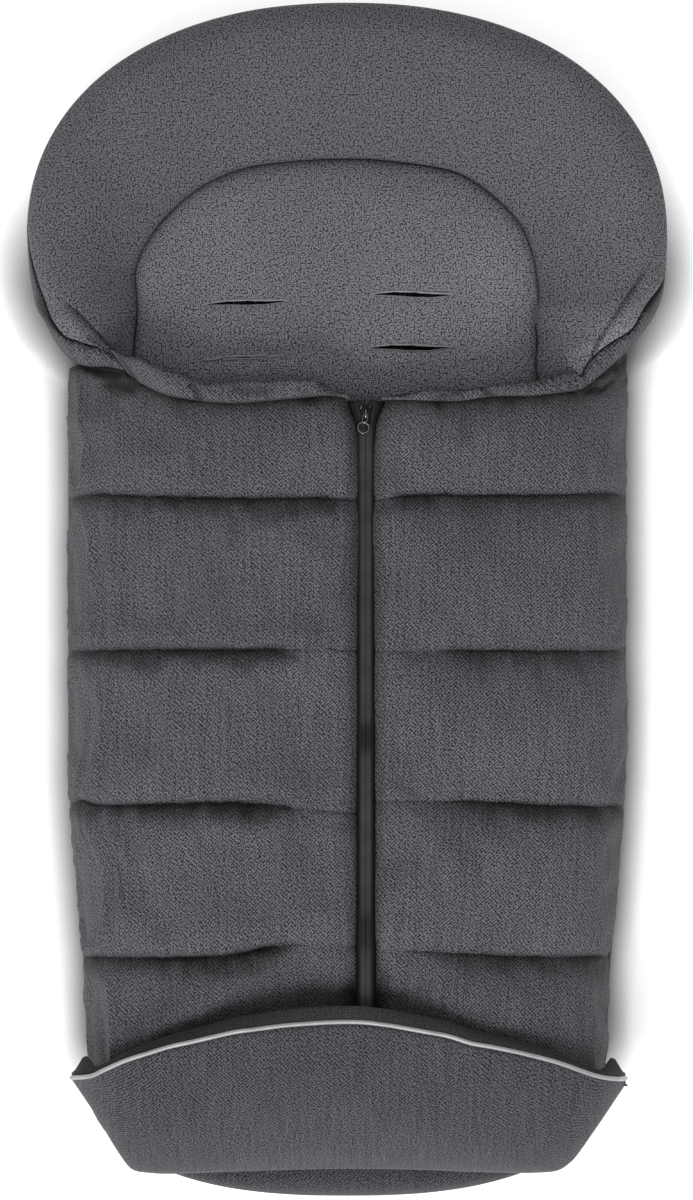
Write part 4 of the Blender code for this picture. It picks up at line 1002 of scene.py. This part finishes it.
def wall_grid(top):
    """The outer cloth: from under the fleece's edge, over its own band at the corners, down to the floor."""
    there = np.clip(np.linalg.norm(OUTER_EDGE - FLEECE_EDGE, axis=1) / 0.010, 0, 1)
    fall = 0.012 - 0.0075 * smooth(CORNER, 0.45, 0.8)
    run = np.arange(HEAD_COLUMNS) * 0.0045
    rows = []
    for share in BAND_ROWS:
        bulge = np.sin(share * np.pi)
        drop = 0.0012 + there * (fall * share**2.6 - 0.0030 * bulge) + 0.0030 * (1 - there) * share
        ripple = waves(run, 0.01 * share, 0.030, 81) * 0.0010 * there * bulge
        rows.append(np.column_stack([mixed(FLEECE_EDGE, OUTER_EDGE, share), top - drop + ripple]))
    low = rows[-1][:, 2]
    for share in WALL_ROWS:
        bulge = np.sin(share * np.pi)
        gather = waves(run, 0.012 * share, 0.034, 8) * 0.0011 * bulge
        place = OUTER_EDGE - OUTWARD * (BASE_INSET * share**2.2 - 0.0006 * bulge + np.abs(gather))[:, None]
        place[:, 1] = np.maximum(place[:, 1], HINGE_LINE + 0.0006)
        rows.append(np.column_stack([place, mixed(low, 0.0004, share)]))
    return np.array(rows)


def build_back():
    """The padded back in one length, from the foot end to the top of the head section."""
    head = OUTER_EDGE - OUTWARD * (BASE_INSET - 0.0010)
    head = path_through(head[head[:, 1] > HINGE_LINE + 0.006], 160)
    top = BACK_TOP - 0.0006
    heights = [0.0, 0.0006, 0.0030, 0.0070, 0.0110, top - 0.0006, top]
    insets = [0.0050, 0.0028, 0.0006, 0.0, 0.0006, 0.0022, 0.0034]
    back = plate_stack("back_pad", np.concatenate([bag_edge(0.0), head[::-1]]), heights, insets, TWILL_FLAT)
    declare(back, "twill", "back_shell", "back_wadding", "hood_shell", fill=0.5)
    bend_with_head(back)
    lining = plate_stack("back_inner_lining", bag_edge(0.003), [top + 0.0001, top + 0.0006], [0.0004, 0.0], FLEECE)
    declare(lining, "fleece", "back_lining", flat=(0.445, 0.645), held="laid", rests_on=[back], area=0.2715)
    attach(lining, "back")


def build_head():
    grid = rim_grid()
    x, y = grid[..., 0], grid[..., 1]
    above, shade = collar_shade(x, y)
    # Painted light lifts the rim's lower corners, the right one more, and the hood's right side; painted shade darkens
    # the fleece above the collar and in the rim's folds
    tint = smooth(CORNER, 0.05, 0.8) * (0.56 + 0.46 * (x > 0) + 1.3 * shade - 0.30 * fade(above, 0.012))
    tint = tint + 0.10 * smooth(x, 0.10, 0.25) + creased(x, y, RIM_FOLDS)[1]
    cover = thin_slab("hood_fleece", grid, 0.0022, FLEECE, tint=tint)
    declare(cover, "fleece", "hood_lining", "hood_wadding", fill=0.6)
    bend_with_head(cover)
    side = wall_grid(grid[-1, :, 2])
    weave = side[..., :2] + OUTWARD * (side[:1, :, 2:] - side[..., 2:])
    # Painted shade: a dark line along the fleece's edge, a shade where the wall turns down under the band that fades
    # toward the floor, and the hollows beside the fleece
    tint = -0.8 * bell(np.linalg.norm(side[..., :2] - FLEECE_EDGE, axis=-1), 0.0022)
    tint[len(BAND_ROWS) - 1 :] -= 0.5 * np.exp(-np.linspace(0, 6, len(WALL_ROWS) + 1))[:, None]
    tint = np.clip(tint + creased(side[..., 0], side[..., 1], BAND_HOLLOWS)[1], -0.95, 0.0)
    wall = thin_slab("hood_outer_cloth", side, 0.0014, TWILL, weave, tint)
    declare(wall, "twill", "hood_rim_band", flat=(0.086, 1.08), held="stretched", rests_on=[cover], area=0.0510)
    bend_with_head(wall)


build_back()
build_head()


# Harness pad and slots

# The ends of each slit and how far it gapes
SHOULDER_SLOTS = {
    "upper_left": ((203, 304.5), (289, 300), 0.0017),
    "lower_left": ((203, 360.5), (284, 354), 0.0006),
    "upper_right": ((371, 294), (454, 294), 0.0019),
    "lower_right": ((368, 348), (452, 347), 0.0021),
}
SLOTS = {word: (pixels(start), pixels(end), gape) for word, (start, end, gape) in SHOULDER_SLOTS.items()}
for WORD in ("crotch", "hip_left", "hip_right"):
    LOW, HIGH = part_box(WORD + "_slot_binding")
    LEVEL = (LOW.y + HIGH.y) / 2
    SLOTS[WORD] = (np.array((LOW.x + 0.002, LEVEL)), np.array((HIGH.x - 0.002, LEVEL)), 0.0014)
PAD_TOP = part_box("seat_pad_upper")[1].z
PAD_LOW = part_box("seat_pad_lower")[0].y
PAD_ROWS = 190
SLIT_STEPS = 26
LIP = 0.0007
LIP_SIDES = 10


def pad_height(x, y):
    corners = [[(end[0], PAD_LOW)] for end in (ARCH[0], ARCH[-1])]
    gap, _ = distance_to(x, y, np.concatenate([corners[0], ARCH[::3], corners[1]]))
    z = mixed(0.0235, PAD_TOP + 0.004, 1 - fade(gap, 0.020))
    z = z - 0.0040 * fade(gap, 0.0020) - 0.0015 * fade(gap, 0.008)
    z = z + 0.007 * smooth(y, 0.262, 0.182) * smooth(y, 0.080, 0.150)
    z = z + waves(x, y, 0.12, 41) * 0.0009 + waves(x, y, 0.05, 42) * 0.00035
    for start, end, _ in SLOTS.values():
        z = z - 0.0011 * bell(distance_to(x, y, np.array([start, end]))[0], 0.007)
    return mixed(BACK_TOP + 0.0012, z, smooth(y, PAD_LOW, PAD_LOW + 0.02))


def slit(start, end, gape):
    """The outline of a slit that gapes a little: its upper edge from start to end, then its lower edge back."""
    t = np.linspace(0, 1, SLIT_STEPS)[:, None]
    along = end - start
    across = unit(np.array([-along[1], along[0]]))
    middle = start + along * t + across * 0.0006 * np.sin(t * np.pi * 2)
    open_by = across * gape * np.sin(t * np.pi) ** 0.8
    return np.concatenate([middle + open_by, (middle - open_by)[-2:0:-1]])


def build_pad():
    share = np.linspace(0, 1, PAD_ROWS + 1)[:, None]
    x = mixed(np.linspace(ARCH[0][0], ARCH[-1][0], HEAD_COLUMNS), ARCH[:, 0], share)
    y = mixed(PAD_LOW, ARCH[:, 1], share)
    grid = np.stack([x, y, pad_height(x, y)], axis=-1)[:, ::2]
    x, y = grid[..., 0], grid[..., 1]
    above, shade = collar_shade(x, y)
    # Painted light lifts the pad toward the collar, on its right, and in a strip a little above the collar; painted
    # shade darkens it just above the collar
    tint = 0.46 * smooth(y, 0.290, 0.190) + 0.10 * smooth(x, 0.02, 0.13) + shade
    tint = tint + 0.16 * bell(above - 0.014, 0.009) * smooth(x, -0.13, -0.08)
    base = grid * (1, 1, 0) + (0, 0, BACK_TOP + 0.0004)
    pad = slab("harness_pad", grid, base, PAD_FLEECE, cloth_lengths(grid), tint)
    for word, ends in SLOTS.items():
        ring = slit(*ends)
        cutter = plate_stack("cutter", ring, [BACK_TOP - 0.002, PAD_TOP + 0.03], [0.0, 0.0], FLEECE)
        cut = pad.modifiers.new("cut", "BOOLEAN")
        cut.operation = "DIFFERENCE"
        cut.solver = "EXACT"
        cut.object = cutter
        bpy.context.view_layer.update()
        graph = bpy.context.evaluated_depsgraph_get()
        mesh = bpy.data.meshes.new_from_object(pad.evaluated_get(graph), depsgraph=graph)
        pad.modifiers.remove(cut)
        pad.data = mesh
        bpy.data.objects.remove(cutter)
        build_slot(word, ring)
    pad.data.set_sharp_from_angle(angle=math.radians(50))
    declare(pad, "fleece", "seat_pad_upper", "seat_pad_lower", fill=0.5)
    bend_with_head(pad)


def build_slot(word, ring):
    """The two stitched lips of a slit, in paler thread."""
    rows = len(ring)
    height = pad_height(ring[:, 0], ring[:, 1])[:, None]
    step = unit(np.roll(ring, -1, axis=0) - np.roll(ring, 1, axis=0))
    out = np.stack([step[:, 1], -step[:, 0]], axis=1)
    out *= np.where(((ring - ring.mean(axis=0)) * out).sum(axis=1, keepdims=True) < 0, -1, 1)
    angles = circle(LIP_SIDES)
    radius = LIP * (1 + 0.25 * waves(np.arange(rows) * 0.004, 0.0, 0.012, 91))[:, None]
    flat = ring[:, None] + out[:, None] * (0.0004 + radius * np.cos(angles))[..., None]
    points = np.concatenate([flat, (height + 0.0002 + radius * np.sin(angles))[..., None]], axis=-1)
    # The lower lips lie in shade, but for the one slit that is nearly shut
    shaded = (np.arange(rows) >= SLIT_STEPS) & (word != "lower_left")
    tint = np.repeat(np.where(shaded, -0.5, 0.0), LIP_SIDES)
    faces = grid_faces(rows, LIP_SIDES, closed=True, looped=True)
    lips = mesh_piece(word + "_slot_lips", points, faces, LIP_THREAD, tint=tint)
    declare(lips, "twill", word + "_slot_binding")
    if word in SHOULDER_SLOTS:
        bend_with_head(lips)
    else:
        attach(lips, "back")


build_pad()


# Foot cover and gusset

COVER_FOLD_PIXELS = [
    (74, 1083), (94, 1113), (114, 1146), (127, 1165), (135, 1171), (148, 1173), (170, 1174), (227, 1172),
    (290, 1170), (350, 1169), (420, 1170), (470, 1172), (513, 1173), (535, 1173), (557, 1171), (570, 1163),
    (579, 1153), (602, 1120), (626, 1084),
]
COVER_COLUMNS = 150
COVER_ROWS = 40
COVER_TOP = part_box("foot_cover_lip")[1].z
COVER_LOW = JOINTS["foot_cover_fold"]["pos_m"][2] - 0.004
LIP_END_HEIGHT = 0.036
PIPE_RADIUS = 0.0018
GUSSET_COLUMNS = 90
GUSSET_ROWS = 24


def cover_grid():
    lip, fold = (pixel_path(line, COVER_COLUMNS + 1) for line in (COVER_EDGE_PIXELS, COVER_FOLD_PIXELS))
    along = 1 - np.cos(np.linspace(0, np.pi / 2, COVER_ROWS + 1))[:, None]
    x, y = (mixed(fold[:, k], lip[:, k], along) for k in (0, 1))
    lip_z = mixed(LIP_END_HEIGHT, COVER_TOP, dome(np.clip(np.abs(lip[:, 0]) / 0.2225, 0, 1), 3.0))
    side = np.abs(np.linspace(-1, 1, COVER_COLUMNS + 1)) ** 8
    z = mixed(COVER_LOW, lip_z, mixed(np.sqrt(1 - (1 - along) ** 2.6), along, side))
    z = z + (waves(x, y, 0.09, 51) * 0.0014 + waves(x, y, 0.035, 52) * 0.0004) * np.sin(along * np.pi) * (1 - side)
    return np.stack([x, y, z], axis=-1)


def build_cover():
    grid = cover_grid()
    weave = np.stack([grid[..., 0], grid[..., 1] + grid[..., 2]], axis=-1)
    # A painted highlight: a pale line along the fold at the foot end, where the rolled edge faces the key light
    tint = 0.8 * bell(np.linalg.norm(grid[..., :2] - grid[:1, :, :2], axis=-1), 0.0012)
    shell = thin_slab("foot_cover_cloth", grid, 0.0016, COVER_TWILL, weave, tint)
    declare(shell, "twill", "foot_cover_shell")
    lining = thin_slab("foot_cover_inside", grid - 0.0020 * normals_of(grid), 0.0008, PROOFED)
    cut = {"flat": (0.465, 0.168), "held": "stretched", "rests_on": [shell], "area": 0.0576}
    declare(lining, "proofed_lining", "foot_cover_lining", **cut)
    edge = grid[-1]
    path = edge + (0.0, PIPE_RADIUS * 0.9, 0.0)
    sections = tube_sections(path, PIPE_RADIUS, 14, np.gradient(path, axis=0))
    pipe = declare(ring_tube("reflective_piping", path, sections, SILVER), "silver_piping", "foot_cover_piping")
    cut = {"flat": (0.470, 0.170), "held": "stretched", "rests_on": ["foot_gusset_pad"], "area": 0.0593}
    share = np.linspace(0, 1, 9)[:, None, None]
    across = np.linspace(-1, 1, COVER_COLUMNS + 1)
    middle = (1 - np.abs(across) ** 2.2)[:, None]
    corner = bell((1 - np.abs(across)) / 2 - 0.024, 0.014)[:, None] * (0.0, 0.0125, -0.0040)
    slope = np.array([0.0, 0.0105, -0.0085]) * (0.12 + 0.88 * middle)
    lip = edge + (0.0, 2 * PIPE_RADIUS, -0.0004) + share * (slope + corner)
    weave = np.stack([lip[..., 0], lip[..., 1] - lip[..., 2]], axis=-1)
    # Its cloth lies in the front's shade, deepest far from the middle and from the piping
    aside = np.clip(np.abs(lip[..., 0]) / LIP_HALF, 0, 1)
    near = -0.08 - np.where(lip[..., 0] < 0, 0.75, 0.35) * aside
    tint = np.clip(mixed(near, -0.35 - 0.9 * aside, share[..., 0]), -0.86, 0.0)
    facing = thin_slab("foot_cover_facing", lip, 0.0014, COVER_TWILL, weave, tint)
    cut = {"flat": (0.0140, 0.480), "held": "stretched", "rests_on": [pipe], "area": 0.0058}
    declare(facing, "twill", "foot_cover_lip", **cut)
    for piece in (shell, lining, pipe, facing):
        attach(piece, "foot_cover")


def build_gusset():
    """The padded crescent at the foot end."""
    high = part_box("foot_gusset")[1]
    across = np.linspace(-1, 1, GUSSET_COLUMNS + 1)[None, :]
    x = across * high.x * np.ones((GUSSET_ROWS + 1, 1))
    out = np.sin(np.linspace(0, np.pi / 2, GUSSET_ROWS + 1))[:, None]
    y = mixed(high.y, SIDE_END - FOOT_ROUND * dome(np.abs(x) / FOOT_HALF, FOOT_ROUNDNESS), out)
    height = mixed(0.012, high.z - SEAT, 1 - across**4)
    z = SEAT + height * np.sqrt(np.clip(1 - out**4, 0, 1)) + waves(x, y, 0.05, 61) * 0.0006
    grid = np.stack([x, y, np.maximum(z, SEAT)], axis=-1)
    base = grid * (1, 1, 0) + (0, 0, SEAT - 0.0004)
    piece = slab("foot_gusset_pad", grid, base, GUSSET_TWILL, cloth_lengths(grid))
    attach(declare(piece, "twill", "foot_gusset", fill=0.6), "back")


build_cover()
build_gusset()


# Zip

TAPE_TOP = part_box("zip_slider")[1].y + 0.0030
TAPE_SHARES = np.array([0.0, 0.08, 0.2, 0.4, 0.6, 0.75, 0.84, 0.89, 0.93, 0.965, 1.0])
TAPE_DROPS = np.array([0.0002, 0.0001, 0.0, 0.0001, 0.0003, 0.0006, 0.0012, 0.0026, 0.0044, 0.0056, 0.0062])
# Where the tape lies in shade: the photograph's row, reach and depth
TAPE_SHADES = ((505, 22, 0.16), (737, 17, 0.74), (930, 22, 0.62))
PULL_LEAN = 10
# The slider's shoulder rims, bright with painted highlights: x at the foot and at the top, length, radius and highlight
# strength
SHOULDERS = ((-0.0040, -0.0033, 0.0032, 0.00042, 60.0), (0.0036, 0.0030, 0.0024, 0.0003, 22.0))


def tape_z(y):
    low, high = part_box("left_zip_tape")
    return mixed(high.z, low.z, np.clip((y - FLAP_TIP) / (high.y - FLAP_TIP), 0, 1))


def build_tape(side):
    word = WORDS[side]
    y = np.linspace(ZIP_END - 0.004, TAPE_TOP, 170)[:, None]
    near = 0.00004 + 0.0030 * smooth(y, TAPE_TOP - 0.004, TAPE_TOP + 0.002)
    x = ZIP_X + side * mixed(near, zip_edge(y) + 0.0024, TAPE_SHARES)
    z = tape_z(y) - TAPE_DROPS + waves(x, y, 0.05, 95) * 0.0003
    grid = np.stack([x, y + 0 * x, z], axis=-1)
    from_middle = np.abs(x - ZIP_X) / zip_edge(y)
    # Painted shade darkens the tape toward its edges under the quilt and toward the top of the opening above the slider
    tint = -0.95 * smooth(from_middle, 0.50, 0.88) - 0.5 * smooth(y, 0.128, 0.145) - 0.25 * bell(from_middle, 0.03)
    for row, reach, depth in TAPE_SHADES:
        tint = tint - depth * bell(MIDDLE_ROW - y / PIXEL - row, reach, 4)
    piece = thin_slab(f"{word}_tape", grid, 0.0007, TAPE, tint=np.clip(tint, -0.95, 0.0), inward=side)
    nodes = [f"{word}_zip_tape", f"{word}_zip_top_stop"] + ["zip_lower_tape", "zip_bottom_stop"] * (side < 0)
    cut = {"flat": (0.0130, 0.490), "held": "stretched", "rests_on": [f"{word}_front_quilt"], "area": 0.0062}
    declare(piece, "coated_tape", *nodes, **cut)
    bend_with_flap(piece, side)


def painted_glint(angles, rows, strength=16.0):
    """A tint for a wire with a painted highlight along its top."""
    return strength * np.tile(bell(angles - np.pi / 2, 0.3), rows)


def swept_ring(name, ring, radius, count=12):
    """A closed wire through a ring of places, with a painted highlight along its top."""
    sections = tube_sections(ring, radius, count, np.roll(ring, -1, axis=0) - np.roll(ring, 1, axis=0))
    faces = grid_faces(len(ring), count, closed=True, looped=True)
    return mesh_piece(name, sections, faces, METAL, tint=painted_glint(circle(count), len(ring)))


def joined(name, things):
    """One piece of metal from several closed bodies."""
    merged = bmesh.new()
    for thing in things:
        merged.from_mesh(thing.data)
        bpy.data.objects.remove(thing)
    mesh = bpy.data.meshes.new(name)
    merged.to_mesh(mesh)
    merged.free()
    return shown(name, mesh, METAL, 40)


def build_slider():
    low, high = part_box("zip_slider")
    middle_y = (low.y + high.y) / 2
    top = tape_z(middle_y)
    t = np.linspace(0, 1, 40)
    half = 0.0036 + 0.0022 * smooth(t, 0.35, 0.95) - 0.0016 * smooth(t, 0.90, 1.0) - 0.0012 * (1 - smooth(t, 0.0, 0.12))
    sides = [np.stack([ZIP_X + side * half, mixed(low.y, high.y, t)], axis=1) for side in (1, -1)]
    outline = np.concatenate([sides[0], sides[1][::-1]])
    x0, x1, y0, y1 = ZIP_X - 0.0008, ZIP_X + 0.0008, high.y - 0.0052, high.y - 0.0012
    keel = np.array([(x0, y0), (x1, y0), (x1, y1), (x0, y1)])
    upper_z, lower_z = (0.0004, 0.0012, 0.0019, 0.0023), (-0.0044, -0.0040, -0.0034, -0.0030)
    parts = [
        plate_stack("slider_upper", outline, top + np.array(upper_z), [0.0004, 0.0, 0.0004, 0.0013], METAL),
        plate_stack("slider_lower", outline, top + np.array(lower_z), [0.0009, 0.0002, 0.0, 0.0003], METAL),
        plate_stack("slider_keel", keel, [top - 0.0032, top + 0.0010], [0.0, 0.0], METAL),
    ]
    bend = np.linspace(0, np.pi, 24)
    bridge_y, bridge_z = middle_y + 0.0034 * np.cos(bend), top + 0.0018 + 0.0032 * np.sin(bend) ** 0.6
    run = np.stack([ZIP_X + 0 * bend, bridge_y, bridge_z], axis=1)
    angles = circle(12)
    wide = np.array([1.0, 0.0, 0.0])
    normal = np.cross(unit(np.gradient(run, axis=0)), wide)
    cos, sin = np.cos(angles)[None, :, None], np.sin(angles)[None, :, None]
    sections = run[:, None] + 0.0011 * cos * wide + 0.0006 * sin * normal[:, None]
    # The bridge carries a painted highlight along its top
    parts.append(ring_tube("slider_bridge", run, sections, METAL, tint=painted_glint(angles, len(run))))
    t = np.linspace(0, 1, 9)
    angles = circle(10)
    rounds = np.stack([np.cos(angles), 0 * angles, np.sin(angles)], axis=1)
    # The shoulder rims carry painted highlights
    for x0, x1, length, radius, wear_and_glint in SHOULDERS:
        line = np.stack([ZIP_X + mixed(x0, x1, t), high.y - 0.0001 - length * (1 - t), top + 0.0021 + 0 * t], axis=1)
        size = radius * np.sqrt(1 - (2 * t - 1) ** 2 * 0.9)[:, None, None]
        parts.append(ring_tube("slider_rim", line, line[:, None] + size * rounds, METAL, tint=painted_glint(angles, 9, wear_and_glint)))
    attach(declare(joined("slider_body", parts), "black_metal", "zip_slider"), "slider")


def build_pull():
    low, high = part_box("zip_puller")
    hinge_y = JOINTS["puller_swing"]["pos_m"][1]
    radius, wire = (high.x - low.x) / 2, 0.00085
    ring_y = low.y + radius
    turns = circle(48)
    size = (radius - wire) * (1 + 0.045 * np.cos(6 * turns))
    height = (low.z + high.z) / 2
    ring = np.stack([ZIP_X + size * np.sin(turns), ring_y + size * np.cos(turns), height + 0 * turns], axis=1)
    link_top, link_low = hinge_y + 0.0006, ring_y + radius - 2 * wire
    turns = circle(36)
    link_x = ZIP_X + 0.0019 * squared(np.cos(turns), 0.7)
    link_y = (link_top + link_low) / 2 + (link_top - link_low) / 2 * squared(np.sin(turns), 0.7)
    link = np.stack([link_x, link_y, height + 0 * turns], axis=1)
    pull = joined("slider_pull", [swept_ring("pull_ring", ring, wire), swept_ring("pull_link", link, 0.0006)])
    # The loose pull hangs a little to the left
    lean = math.radians(-PULL_LEAN)
    for vertex in pull.data.vertices:
        dx, dy = vertex.co.x - ZIP_X, vertex.co.y - hinge_y
        vertex.co.x = ZIP_X + dx * math.cos(lean) - dy * math.sin(lean)
        vertex.co.y = hinge_y + dx * math.sin(lean) + dy * math.cos(lean)
    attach(declare(pull, "black_metal", "zip_puller"), "puller")


for SIDE in WORDS:
    build_tape(SIDE)
build_slider()
build_pull()
for NODE in ("left_zip_coil", "right_zip_coil"):
    frame["nodes"][NODE].data.materials.clear()
    frame["nodes"][NODE].data.materials.append(NYLON)


# Collar

COLLAR_FOLDS = {
    -1: [
        ([(190, 382), (198, 392), (203, 403)], 0.0030, 0.0042, 0.5, 0.1, 0.2),
        ([(118, 356), (127, 367), (137, 381)], 0.0022, 0.0022, 0.5, 0.1, 0.1),
        ([(226, 386), (250, 392), (280, 391)], 0.0050, 0.0016, 0.5, 0.3, 0.3),
        ([(150, 372), (170, 384), (186, 390)], 0.0045, -0.0014, 0, 0.3, 0.3),
        ([(316, 384), (330, 392), (342, 397)], 0.0030, 0.0016, 0.5, 0.2, 0.2),
    ],
    1: [
        ([(581, 366), (583, 374), (587, 383)], 0.0018, 0.0034, 0.5, 0.1, 0.3),
        ([(430, 399), (450, 396), (470, 393)], 0.0040, 0.0014, 0.5, 0.3, 0.3),
        ([(500, 392), (530, 390), (560, 384)], 0.0050, -0.0014, 0, 0.3, 0.3),
        ([(478, 388), (488, 393), (494, 398)], 0.0030, 0.0022, 0.5, 0.2, 0.2),
    ],
}
COLLAR_STEPS = 220
COLLAR_ROUND = 44
COLLAR_THICKNESS = 0.0062


def build_collar(side):
    top, low = (pixel_path(line, COLLAR_STEPS) for line in COLLAR_EDGES[side])
    centre, half = (top + low) / 2, (top - low) / 2
    x, y = centre[:, 0], np.minimum(centre[:, 1], COLLAR_LINE)
    share = np.clip(np.abs(x - ZIP_X) / (half_width(y) - side * ZIP_X), 0.0, 1.0)
    z = SEAT + crown_height(y) * dome(share, FRONT_ROUNDNESS) - corner_drop(x)
    z = z - 0.005 * (1 - smooth(side * (x - ZIP_X), 0.10, 0.17)) - 0.0005
    steps = np.arange(COLLAR_STEPS)
    ends = np.clip(np.minimum(steps, steps[::-1]) / 5, 0, 1)
    thick = COLLAR_THICKNESS * np.clip(np.linalg.norm(half, axis=1) / 0.0075, 0.2, 1.0) * (0.35 + 0.65 * np.sqrt(ends))
    thick = thick * (1 + 0.10 * waves(steps * 0.0014, 0.0, 0.05, 71 + side))
    angles = circle(COLLAR_ROUND)
    cos, sin = squared(np.cos(angles), 0.8), squared(np.sin(angles), 0.75)
    flat = centre[:, None] + half[:, None] * cos[:, None]
    deep, shade = creased(flat[..., 0], flat[..., 1], COLLAR_FOLDS[side])
    ripple = waves(flat[..., 0], flat[..., 1], 0.050, 75 + side) * 0.0010
    rise = z[:, None] + thick[:, None] * sin + (ripple - deep) * smooth(sin, -0.2, 0.3)
    sections = np.concatenate([flat, rise[..., None]], axis=-1)
    # Painted shade along the band's lower and upper edges and in its folds
    tint = np.clip(shade - 0.6 * bell(cos + 1, 0.16) - 0.38 * bell(1 - cos, 0.30), -0.8, 0.3)
    path, weave = np.column_stack([centre, z]), flat + rise[..., None] * 0.4
    band = ring_tube(f"{WORDS[side]}_collar", path, sections, TWILL, weave, tint)
    declare(band, "twill", WORDS[side] + "_collar_band", fill=0.4)
    bend_with_flap(band, side)


for SIDE in WORDS:
    build_collar(SIDE)
